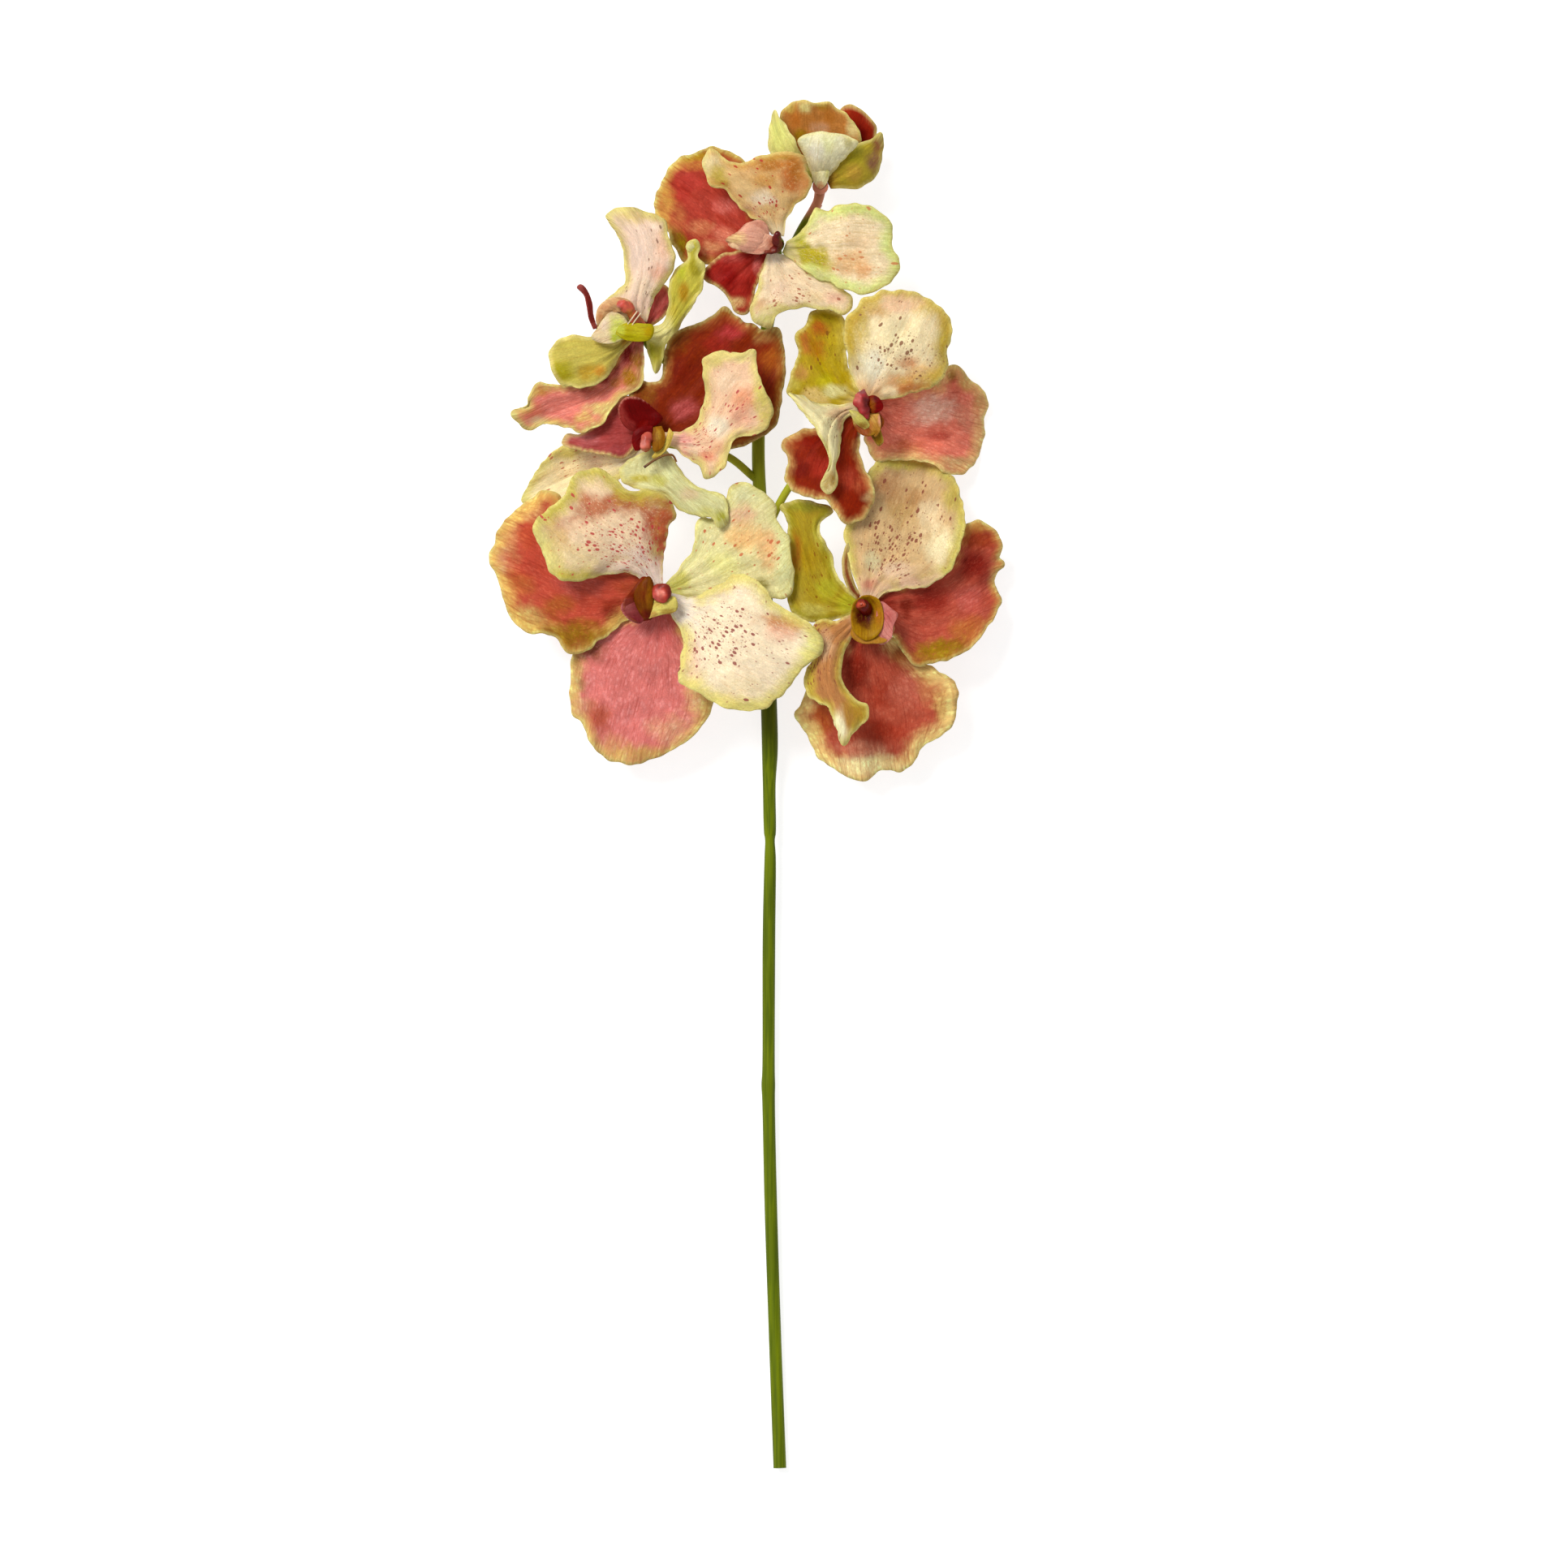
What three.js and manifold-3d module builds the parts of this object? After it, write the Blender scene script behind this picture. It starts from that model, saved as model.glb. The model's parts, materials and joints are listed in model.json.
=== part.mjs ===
import * as THREE from "three";
import { mergeVertices } from "three/addons/utils/BufferGeometryUtils.js";
import Module from "manifold-3d";

// A cut spray of orchids lying on its back on a table, in millimetres.
// It is drawn as seen from straight above: X to the right, Y from the cut end to the bud, Z up.
// The table is at Z = 0. Heights are those of the middle of each petal's thickness.

// Driving dimensions
const PETAL_THICKNESS = 0.8;
const LIP_THICKNESS = 1.2;
const CLEARANCE = 0.3;
const KNOB_RADIUS = 3.4;
const KNOB_DEPTH = 8;
const KNOB_TOP = 1.2;
const KNOB_FOOT_SHARE = 0.8;
const CLAW_HALF_WIDTH = 2.7;
const CLAW_LOWEST = -6;
const CLAW_STEP = 1.6;
const LIP_LEVEL = 5.4;
const STALK_RADIUS = 1.7;
const COLUMN_RADIUS = 3.5;

// Mesh fineness
const CELLS_ACROSS = 8;
const CELLS_ALONG = 7;
const STEM_SIDES = 12;
const STEM_STEPS = 57;
const STALK_SIDES = 8;
const STALK_STEPS = 9;
const KNOB_SIDES = 16;
const COLUMN_SIDES = 12;
const EVENING_PASSES = 60;

// Waves round a petal's edge, counted from a point this share of the way along it
const RUFFLES = 6;
const RUFFLE_CENTRE = 0.4;

// Half the column's outline from its foot up: share of its radius, share of its length
const COLUMN_OUTLINE = [[0, 0], [0.9, 0], [0.85, 0.4], [1, 0.62], [0.95, 0.8], [0.6, 0.95], [0, 1]];

// Surface roughness
const PETAL_ROUGHNESS = 0.6;
const LIP_ROUGHNESS = 0.5;
const COLUMN_ROUGHNESS = 0.45;
const STEM_ROUGHNESS = 0.55;

// Where along its rim a petal is widest on the first side, at its tip, and widest on the second side
const RIM_STATIONS = [0, 0.27, 0.5, 0.73, 1];
// Where the rim's first side ends and its second side begins, as shares of its length
const TIP_FROM = 0.36;
const TIP_TO = 0.64;

// Colours
const CREAM = 0xe8dcba;
const RED = 0xb5432f;
const GREEN = 0xc9c77a;
const MAROON = 0x6e1a16;
const COLUMN_RED = 0xb8443a;
const STEM_GREEN = 0x647511;
const BUD_GREEN = 0xdadca0;
const BUD_BROWN = 0x9c6a3a;

// Stem: points up its middle, with the radius at each. The first is the cut end.
const STEM_PATH = [
  [4.5, 0, 3.1, 2.8],
  [2.4, 57, 3.3, 2.7],
  [0.6, 113, 3.9, 2.75],
  [-0.4, 160, 4.7, 2.8],
  [-0.5, 166, 4.8, 3.0],
  [-0.4, 172, 4.9, 2.75],
  [-0.2, 232, 6.6, 2.75],
  [0.3, 264, 7.8, 2.5],
  [0.2, 272, 8.1, 2.15],
  [0.2, 275, 8.2, 2.6],
  [-0.1, 296, 9.2, 2.8],
  [0.2, 311, 10, 3.45],
  [-0.2, 330, 11.4, 3.5],
  [-1.5, 370, 14, 3.2],
  [-3.5, 410, 16.5, 2.9],
  [-4.8, 440, 18.2, 2.8],
  [-3, 480, 20.5, 2.7],
  [3, 510, 22.5, 2.6],
  [13, 533, 24.5, 2.4],
  [21, 547, 26, 2.1],
];

// Each bloom has a heart, which is the top of its stalk's knob. Each petal names where its claw points,
// its rim from one side of the claw round to the other, and its heights halfway up the first side,
// at the tip and halfway up the second side. Level says how far up the knob its claw sits.
const BLOOMS = {
  bloom_a: {
    heart: [-47, 378, 42],
    stalk: [[-2, 352, 13], [-22, 361, 18], [-41, 372, 26]],
    column: [-46, 380, 53],
    petals: {
      upper_petal: {
        towards: [-50, 386],
        level: 3,
        rim: [
          [-46, 392], [-43, 407], [-40, 413], [-44, 420], [-52, 423], [-60, 422], [-66, 428], [-75, 432],
          [-84, 429], [-88, 421], [-94, 416], [-102, 407], [-98, 396], [-94, 387], [-88, 383.5],
          [-80, 384], [-70, 386.5], [-60, 387],
        ],
        heights: [48, 51, 50],
        arch: 3,
        wave: 1.2,
        colour: CREAM,
      },
      left_sepal: {
        towards: [-59, 377],
        level: 1,
        rim: [
          [-61, 386], [-75, 392], [-86, 406], [-91, 421], [-97, 423], [-106, 417], [-115, 409], [-119, 400],
          [-121, 393], [-117, 384], [-115, 376], [-111, 367], [-104, 361], [-96, 361], [-91, 358],
          [-88, 353], [-80, 353], [-73, 358], [-65, 364], [-57, 370],
        ],
        heights: [33, 27, 33],
        arch: 3,
        wave: 1,
        colour: RED,
      },
      lower_sepal: {
        towards: [-52, 366],
        level: 0,
        rim: [
          [-56, 370], [-70, 366], [-84, 354], [-86, 342], [-85, 326], [-80, 321], [-77, 313], [-70, 307],
          [-60, 304.5], [-50, 307], [-38, 313], [-30, 320], [-25, 328], [-25, 335], [-30, 350],
          [-36, 361], [-42, 370],
        ],
        heights: [26, 22, 30],
        arch: 4,
        wave: 1,
        colour: RED,
      },
      lower_petal: {
        towards: [-40, 374],
        level: 3,
        rim: [
          [-41, 367], [-37, 358], [-39, 347], [-39, 340], [-34, 337], [-28, 334], [-22, 330],
          [-12, 327.5], [-3, 328.5], [4, 333], [10, 340], [16, 347], [22, 352], [23.5, 356],
          [21, 362], [15, 367], [8, 371], [2, 375], [-5, 384], [-14, 386.5], [-22, 382], [-33, 377],
        ],
        heights: [50, 48, 50],
        arch: 2,
        wave: 1,
        colour: CREAM,
      },
      dorsal_sepal: {
        towards: [-40, 382],
        level: 1,
        rim: [
          [-37, 391], [-33.5, 397], [-32, 404], [-31.5, 410], [-24, 412], [-20, 418], [-16, 425],
          [-10, 426], [-2, 422], [2, 418], [3, 411], [8.5, 402], [10, 393], [10.5, 386], [8, 377],
          [-3, 376], [-15, 376], [-28, 375],
        ],
        heights: [38, 39, 39],
        arch: 1,
        wave: 0.8,
        colour: GREEN,
      },
    },
    lip: {
      towards: [-57, 377],
      rim: [
        [-51, 384], [-54.5, 385.5], [-59, 380], [-63, 374], [-61, 368], [-56, 366], [-50.5, 367.5],
      ],
      heights: [47, 50, 46],
      arch: -1,
    },
  },
  bloom_b: {
    heart: [42, 371, 42],
    stalk: [[0, 342, 12], [18, 352, 17], [36, 365, 26]],
    column: [40, 375, 52],
    petals: {
      upper_petal: {
        towards: [43, 378],
        level: 3,
        rim: [
          [38, 381], [35, 390], [33, 398], [32, 404], [34, 411], [38, 421], [43, 431], [46, 436],
          [52, 438], [60, 438], [68, 436], [74, 433], [80, 428], [83, 420], [84.5, 408], [82, 397],
          [79, 389], [74, 384.5], [66, 381], [57, 380], [50, 378.5],
        ],
        heights: [36, 15, 35],
        arch: 3,
        wave: 1,
        colour: CREAM,
      },
      right_sepal: {
        towards: [48, 374],
        level: 1,
        rim: [
          [52, 381], [62, 384], [78, 392], [85, 408], [91, 410], [97, 406], [101, 399], [99, 394], [101, 391],
          [97.5, 384], [100, 376], [99, 371], [94, 364], [88, 356], [80, 351], [70, 348],
          [65, 347.5], [59.5, 352.5], [54, 360],
        ],
        heights: [26, 16, 31],
        arch: 2,
        wave: 1,
        colour: RED,
      },
      bottom_sepal: {
        towards: [44, 360],
        level: 0,
        rim: [
          [50, 361], [57, 354], [62, 348.5], [67, 345.5], [73, 344], [80.5, 339.5], [81, 330], [79, 321],
          [71, 315], [66, 312], [62, 305], [56, 301.5], [48, 302], [42, 297.5], [35, 298.5],
          [26, 304], [20, 309], [16, 318], [11, 325], [14, 332], [18, 341], [27, 355], [35, 364],
        ],
        heights: [23, 18, 25],
        arch: 4,
        wave: 1.2,
        colour: RED,
      },
      lower_petal: {
        towards: [35, 363],
        level: 2,
        rim: [
          [29, 367], [20, 366], [17, 360], [19, 352], [15.5, 343], [16, 335], [20, 331.5],
          [25, 329], [29, 320], [32, 313], [35, 317], [40, 321], [42.5, 326], [42, 330.5],
          [37, 332], [33, 338], [31, 347], [33, 356],
        ],
        heights: [40, 46, 45],
        arch: 2,
        wave: 0.6,
        colour: CREAM,
      },
      dorsal_sepal: {
        towards: [37, 374],
        level: 1,
        rim: [
          [33, 368], [26, 366.5], [17, 366.5], [9.5, 371], [8, 385], [8, 398], [7.5, 410], [5, 416],
          [13, 419], [20, 418], [28, 413.5], [22, 409], [22.5, 403.5], [25.5, 398], [28, 392],
          [29, 386], [34, 380],
        ],
        heights: [32, 33, 34],
        arch: 1,
        wave: 0.5,
        colour: GREEN,
      },
    },
    lip: {
      towards: [44, 362],
      rim: [
        [37, 365.5], [35, 361], [38, 357.5], [45, 356.5], [51, 358], [54, 364], [50, 368],
      ],
      heights: [47, 49, 47],
      arch: -1,
    },
  },
  bloom_c: {
    heart: [41, 460, 42],
    stalk: [[-3, 402, 16], [9, 425, 22], [34, 452, 28]],
    column: [42, 463, 52],
    petals: {
      upper_petal: {
        towards: [44, 465],
        level: 3,
        rim: [
          [38, 467], [35.5, 472], [34, 479], [32.5, 486], [32.5, 495], [36, 500], [40, 505],
          [47, 508], [56, 509], [64, 508], [70, 504.5], [76, 499.5], [79, 491], [77, 484],
          [77, 476], [74, 470], [66, 466], [57, 463.5], [50, 462],
        ],
        heights: [46, 48, 44],
        arch: 3,
        wave: 1,
        colour: CREAM,
      },
      dorsal_sepal: {
        towards: [37, 463],
        level: 1,
        rim: [
          [30, 457], [21, 457.5], [14, 461], [7.5, 465], [9, 472], [12, 481], [11.5, 490],
          [15, 493], [19, 500.5], [26, 501], [32, 497], [33, 488], [34, 478], [37, 469],
        ],
        heights: [33, 28, 31],
        arch: 1,
        wave: 0.8,
        colour: GREEN,
      },
      lower_petal: {
        towards: [35, 457],
        level: 3,
        rim: [
          [28, 459.5], [20, 461], [8, 464.5], [13, 458], [18, 452], [21, 447], [24, 441],
          [26, 434], [22, 427], [22, 423], [26, 421], [30, 427], [29, 432], [31, 440],
          [31, 448], [33, 454],
        ],
        heights: [52, 55, 51],
        arch: 1,
        wave: 0.4,
        colour: CREAM,
      },
      bottom_sepal: {
        towards: [38, 454],
        level: 1,
        rim: [
          [34, 455.5], [28, 453], [20, 450], [12, 448], [5, 442.5], [8, 436], [6.5, 428], [9, 423], [16, 420],
          [24, 418], [28, 414], [32, 408.5], [37, 408.5], [42, 412], [45.5, 420], [44, 427],
          [40, 435], [39, 445],
        ],
        heights: [44, 46, 41],
        arch: 1,
        wave: 0.8,
        colour: RED,
      },
      right_sepal: {
        towards: [48, 459],
        level: 0,
        rim: [
          [50, 465], [62, 467], [72, 470], [77, 477], [81, 477], [86, 472], [93, 466], [95, 459],
          [92.5, 454], [93, 447], [91, 439], [85, 432], [77.5, 431], [70, 436], [62, 438],
          [52, 437], [46.5, 435.5], [43, 440], [40.5, 447],
        ],
        heights: [18, 0.4, 24],
        arch: 3,
        wave: 0,
        colour: RED,
      },
    },
    lip: {
      towards: [42, 450],
      rim: [
        [36, 455.5], [36, 452], [38, 448], [42, 446], [47, 448], [49.5, 452.5], [47, 456],
      ],
      heights: [47, 49, 47],
      arch: -1,
    },
  },
  bloom_d: {
    heart: [-52, 445, 38],
    stalk: [[-6, 428, 18], [-19, 438, 23], [-44, 443, 26]],
    column: [-50, 444, 47],
    petals: {
      upper_sepal: {
        towards: [-43, 449],
        level: 1,
        rim: [
          [-51, 453], [-58, 461], [-54, 468], [-47, 470], [-45.5, 478], [-44, 487], [-39, 492],
          [-30, 495], [-24, 499], [-19, 502.5], [-14, 498], [-4, 493], [4, 493], [6, 488],
          [6.5, 475], [5.5, 463], [4, 453], [-1, 447], [-8, 443], [-18, 440], [-32, 440], [-43, 442],
        ],
        heights: [29, 27, 29],
        arch: 2,
        wave: 0.6,
        colour: RED,
      },
      front_petal: {
        towards: [-43, 445],
        level: 3,
        rim: [
          [-36, 449], [-31, 454], [-28, 463], [-28.5, 472], [-28.5, 479], [-24, 482.5],
          [-14, 482], [-6, 483], [-5, 474], [-2, 466], [1.5, 459], [0, 452], [-5, 447],
          [-12, 446], [-17, 441], [-19, 434], [-22, 430], [-28, 428], [-30, 433], [-36, 437],
          [-41, 441],
        ],
        heights: [46, 48, 48],
        arch: 2,
        wave: 1,
        colour: CREAM,
      },
      left_sepal: {
        towards: [-60, 448],
        level: 2,
        rim: [
          [-58, 458], [-61, 462], [-66, 459], [-73, 451], [-81, 447], [-88, 447], [-90, 443],
          [-82, 440.5], [-72, 438], [-62, 437],
        ],
        heights: [29, 22, 29],
        arch: 2,
        wave: 0.4,
        colour: RED,
      },
      lower_petal: {
        towards: [-58, 438],
        level: 0,
        rim: [
          [-62, 440], [-75, 443], [-88, 443], [-95, 438.5], [-100, 433], [-104, 426], [-107, 418], [-92, 415],
          [-74, 423], [-60, 431],
        ],
        heights: [14, 0.4, 14],
        arch: 2,
        wave: 0,
        colour: CREAM,
      },
      dorsal_sepal: {
        towards: [-47, 438],
        level: 2,
        rim: [
          [-42, 437], [-38, 431], [-32, 425], [-26, 422.5], [-20, 421], [-17.5, 414], [-18, 408],
          [-22, 407], [-26, 411], [-33, 412], [-40, 415], [-45, 420.5], [-55, 422.5], [-64, 427],
          [-63, 434], [-57, 438],
        ],
        heights: [42, 43, 41],
        arch: 1,
        wave: 0.6,
        colour: GREEN,
      },
    },
    lip: {
      towards: [-57, 454],
      rim: [
        [-48, 452.5], [-46.5, 457], [-50, 461], [-57, 461.5], [-63, 457], [-62.5, 450], [-58.5, 447],
      ],
      heights: [43, 46, 43],
      arch: -2,
    },
  },
  bloom_e: {
    heart: [-56, 492, 38],
    stalk: [[-4, 460, 19.5], [-26, 467, 22], [-50, 483, 26]],
    column: [-57, 498, 49],
    petals: {
      upper_petal: {
        towards: [-55, 500],
        level: 3,
        rim: [
          [-66, 497], [-73, 498], [-72, 503], [-67, 508], [-62, 513], [-63, 520], [-63, 527],
          [-67, 535], [-71, 541], [-67, 544], [-61, 545], [-53, 543], [-45, 539], [-43.5, 532],
          [-40, 523], [-42, 514], [-47, 506],
        ],
        heights: [39, 42, 42],
        arch: 2,
        wave: 0.8,
        colour: CREAM,
      },
      dorsal_sepal: {
        towards: [-47, 489],
        level: 2,
        rim: [
          [-46, 495], [-44, 501], [-43.5, 508], [-41, 517], [-35, 523], [-36, 529], [-32, 531],
          [-29.5, 528], [-31, 524.5], [-28, 520], [-29, 511], [-33, 502], [-38, 495], [-43, 488],
          [-46, 480], [-49, 473], [-52, 480],
        ],
        heights: [37, 42, 36],
        arch: 1,
        wave: 0.3,
        colour: GREEN,
      },
      left_petal: {
        towards: [-64, 488],
        level: 3,
        rim: [
          [-67, 486.5], [-77, 489], [-84, 489.5], [-89, 489], [-95, 482], [-94, 475], [-90, 469],
          [-82, 466.5], [-75, 468], [-69, 473], [-65, 481],
        ],
        heights: [41, 40, 41],
        arch: 3,
        wave: 0.8,
        colour: CREAM,
      },
      lower_sepal: {
        towards: [-58, 484],
        level: 1,
        rim: [
          [-66, 481], [-78, 471], [-92, 469], [-100, 469], [-104, 464], [-105, 459], [-111, 456.5],
          [-108, 451], [-103, 448.5], [-98, 451.5], [-90, 450.5], [-80, 448], [-72, 452],
          [-67, 460], [-62, 463.5], [-55.5, 468], [-54.5, 476],
        ],
        heights: [33, 22, 36],
        arch: 1,
        wave: 0.5,
        colour: RED,
      },
      right_sepal: {
        towards: [-50, 499],
        level: 0,
        rim: [
          [-54, 500], [-55, 506], [-50, 513], [-44, 511], [-42, 504], [-45, 498],
        ],
        heights: [31, 31, 31],
        arch: 1,
        wave: 0,
        colour: RED,
      },
    },
    lip: {
      towards: [-66, 497],
      rim: [
        [-62, 499], [-65, 503], [-70, 504], [-74, 499], [-74, 492], [-70, 489], [-63, 490],
      ],
      heights: [44, 45, 44],
      arch: 1,
      tongue: [[-70, 493, 45, 1.4], [-75.5, 494, 45.5, 1.2], [-77, 502, 46, 1.1], [-82, 510.5, 46, 1]],
    },
  },
  bloom_f: {
    heart: [3, 529, 42],
    stalk: [[0, 498, 21.5], [3, 510, 24], [4, 520, 28]],
    column: [5, 530, 52],
    petals: {
      upper_petal: {
        towards: [4, 535],
        level: 3,
        rim: [
          [-3, 538], [-9, 541], [-14, 546], [-19, 552], [-25, 554], [-29, 563], [-25, 570],
          [-20, 566], [-12, 563.5], [-3, 567.5], [4, 568], [14, 567], [17, 558], [18, 553],
          [13, 547], [8, 541],
        ],
        heights: [48, 50, 49],
        arch: 1,
        wave: 0.8,
        colour: CREAM,
      },
      left_sepal: {
        towards: [-9, 532],
        level: 0,
        rim: [
          [-9, 537], [-12, 545], [-12, 554], [-9, 563], [-16, 568.5], [-25, 571], [-34, 568], [-40, 566],
          [-45, 559], [-49, 551], [-49.5, 544], [-44, 534], [-41, 528], [-37, 521.5],
          [-28, 520.5], [-16, 521], [-8, 525],
        ],
        heights: [33, 25, 30],
        arch: 3,
        wave: 0.8,
        colour: RED,
      },
      lower_sepal: {
        towards: [-6, 524],
        level: 1,
        rim: [
          [-8, 527], [-15, 526], [-22, 523.5], [-29, 516], [-24, 511], [-19, 507], [-15, 500], [-9.5, 499],
          [-6, 508], [-3, 518],
        ],
        heights: [36, 34, 35],
        arch: 1,
        wave: 0.3,
        colour: RED,
      },
      lower_petal: {
        towards: [1, 522],
        level: 2,
        rim: [
          [-3, 518], [-5, 510], [-8, 501], [-7, 496], [0, 493], [4, 499], [12, 501],
          [19, 501.5], [28, 500], [33, 499], [36, 505], [30, 510.5], [21, 514], [14, 518.5], [8, 523],
        ],
        heights: [39, 38, 39],
        arch: 1,
        wave: 0.5,
        colour: CREAM,
      },
      dorsal_sepal: {
        towards: [8, 527],
        level: 3,
        rim: [
          [12, 533], [18, 541], [20, 545], [25, 543.5], [31, 546], [40, 546], [47, 543.5],
          [52, 538], [54, 532], [53, 528.5], [56, 522], [53, 513], [48, 509], [40, 507],
          [34, 509], [26, 512], [17, 516], [11, 521],
        ],
        heights: [43, 40, 43],
        arch: 1,
        wave: 1,
        colour: GREEN,
      },
    },
    lip: {
      towards: [-6, 531],
      rim: [
        [-0.5, 536], [-3, 539], [-9, 538], [-14, 534], [-19, 530.5], [-15, 528], [-10, 525.5], [-3, 525],
      ],
      heights: [46, 47, 46],
      arch: 3,
    },
  },
};

// The bud at the top has opened a little: its petals stand up round a hollow.
const BUD = {
  heart: [22, 554, 33],
  stalk: [
    [18, 542, 25.5, 2.1],
    [21, 548, 27, 2.1],
    [22, 553, 26, 2.4],
  ],
  petals: {
    left_sepal: {
      towards: [14, 559],
      level: 2,
      rim: [
        [14, 567], [11.5, 573], [8, 578.5], [4.6, 583.4], [2.3, 587], [-0.5, 577], [0.4, 569],
        [9, 561],
      ],
      heights: [42, 37, 33],
      arch: 3,
      wave: 0.3,
      colour: BUD_GREEN,
    },
    front_sepal: {
      towards: [22.6, 562],
      level: 3.4,
      rim: [
        [18.4, 559], [15.6, 566], [12.4, 574.2], [19.5, 577], [28, 576.6], [34, 575.4],
        [38.4, 572.6], [33.4, 567], [28, 560.8],
      ],
      heights: [46, 48, 46],
      arch: 4,
      wave: 0.3,
      colour: BUD_GREEN,
    },
    right_sepal: {
      towards: [31, 558],
      level: 2,
      rim: [
        [28, 563], [33.5, 569.5], [39.5, 573], [44, 574.6], [48.2, 577.2], [48.8, 567],
        [46.8, 560], [41.5, 554.6], [35.5, 553], [30, 553.2],
      ],
      heights: [40, 36, 31],
      arch: 3,
      wave: 0.3,
      colour: BUD_BROWN,
    },
    back_petal: {
      towards: [19, 562],
      level: 0,
      rim: [
        [14, 564], [8, 573], [4.5, 583.4], [8, 589], [14, 591], [20.6, 590], [25.4, 590.8],
        [28.8, 588], [32.4, 585.8], [36.6, 581], [39.2, 577], [39.6, 573.4], [34, 568.6],
        [28, 564],
      ],
      heights: [33, 38, 34],
      arch: -3,
      wave: 0.5,
      colour: BUD_BROWN,
    },
    side_petal: {
      towards: [29, 560],
      level: 1,
      rim: [
        [32, 567], [30, 576], [29.5, 586], [34.3, 589.3], [37, 587.6], [41.1, 583.6],
        [45, 578.6], [45.4, 575], [43, 569], [38, 562],
      ],
      heights: [24, 28, 24],
      arch: -2,
      wave: 0.3,
      colour: RED,
    },
  },
};

const wasm = await Module();
wasm.setup();

function toSolid(geometry) {
  const bare = geometry.clone();
  bare.deleteAttribute("normal");
  bare.deleteAttribute("uv");
  const merged = mergeVertices(bare, 1e-4);
  const vertProperties = new Float32Array(merged.getAttribute("position").array);
  const triVerts = new Uint32Array(merged.getIndex().array);
  return new wasm.Manifold(new wasm.Mesh({ numProp: 3, vertProperties, triVerts }));
}

function toGeometry(solid) {
  const mesh = solid.getMesh();
  const geometry = new THREE.BufferGeometry();
  geometry.setAttribute("position", new THREE.BufferAttribute(new Float32Array(mesh.vertProperties), 3));
  geometry.setIndex(Array.from(mesh.triVerts));
  geometry.computeVertexNormals();
  return geometry;
}

// A round tube through points [x, y, z, radius], closed by a fan at each end.
function taperedTube(path, sides, steps) {
  const middle = new THREE.CatmullRomCurve3(
    path.map(([x, y, z]) => new THREE.Vector3(x, y, z)),
    false,
    "centripetal",
  );
  const radii = path.map(([, , , radius]) => radius);
  const across = new THREE.Vector3(0, 0, 1);
  const positions = [];
  const indices = [];
  for (let i = 0; i <= steps; i++) {
    const place = (i / steps) * (path.length - 1);
    const before = Math.min(Math.floor(place), path.length - 2);
    const radius = THREE.MathUtils.lerp(radii[before], radii[before + 1], place - before);
    const centre = middle.getPoint(i / steps);
    const along = middle.getTangent(i / steps);
    const side = new THREE.Vector3().crossVectors(along, across).normalize();
    const up = new THREE.Vector3().crossVectors(side, along);
    for (let k = 0; k < sides; k++) {
      const angle = (2 * Math.PI * k) / sides;
      const point = centre.clone();
      point.addScaledVector(side, radius * Math.cos(angle));
      point.addScaledVector(up, radius * Math.sin(angle));
      positions.push(point.x, point.y, point.z);
    }
  }
  for (let i = 0; i < steps; i++) {
    for (let k = 0; k < sides; k++) {
      const a = i * sides + k;
      const b = i * sides + ((k + 1) % sides);
      indices.push(a, b + sides, b, a, a + sides, b + sides);
    }
  }
  const lastRing = steps * sides;
  for (let k = 1; k < sides - 1; k++) {
    indices.push(0, k, k + 1);
    indices.push(lastRing, lastRing + k + 1, lastRing + k);
  }
  const geometry = new THREE.BufferGeometry();
  geometry.setAttribute("position", new THREE.Float32BufferAttribute(positions, 3));
  geometry.setIndex(indices);
  return geometry;
}

// Height of a rim point from its share of the way round, eased from one station to the next.
function rimHeight(share, clawHeight, heights) {
  const levels = [clawHeight, ...heights, clawHeight];
  let k = 0;
  while (k < RIM_STATIONS.length - 2 && share > RIM_STATIONS[k + 1]) k++;
  const local = (share - RIM_STATIONS[k]) / (RIM_STATIONS[k + 1] - RIM_STATIONS[k]);
  return THREE.MathUtils.lerp(levels[k], levels[k + 1], THREE.MathUtils.smoothstep(local, 0, 1));
}

// The rim of a petal as one smooth curve, from one corner of its claw round to the other,
// counter-clockwise as seen from above.
function rimCurve(heart, petal) {
  const centre = new THREE.Vector2(heart[0], heart[1]);
  const outward = new THREE.Vector2(...petal.towards).sub(centre).normalize();
  const sideways = new THREE.Vector2(outward.y, -outward.x).multiplyScalar(CLAW_HALF_WIDTH);
  const clawMiddle = centre.clone().addScaledVector(outward, KNOB_RADIUS + CLEARANCE);
  const traced = petal.rim.map(([x, y]) => new THREE.Vector2(x, y));
  const clockwise = THREE.ShapeUtils.isClockWise([clawMiddle, ...traced]);
  if (clockwise) traced.reverse();
  const outline = [clawMiddle.clone().add(sideways), ...traced, clawMiddle.clone().sub(sideways)];
  const travelled = [0];
  for (let i = 1; i < outline.length; i++) {
    travelled.push(travelled[i - 1] + outline[i].distanceTo(outline[i - 1]));
  }
  const clawHeight = heart[2] + CLAW_LOWEST + CLAW_STEP * petal.level;
  const heights = clockwise ? petal.heights.toReversed() : petal.heights;
  const points = outline.map((point, i) => {
    const share = travelled[i] / travelled.at(-1);
    return new THREE.Vector3(point.x, point.y, rimHeight(share, clawHeight, heights));
  });
  return new THREE.CatmullRomCurve3(points, false, "centripetal");
}

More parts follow.
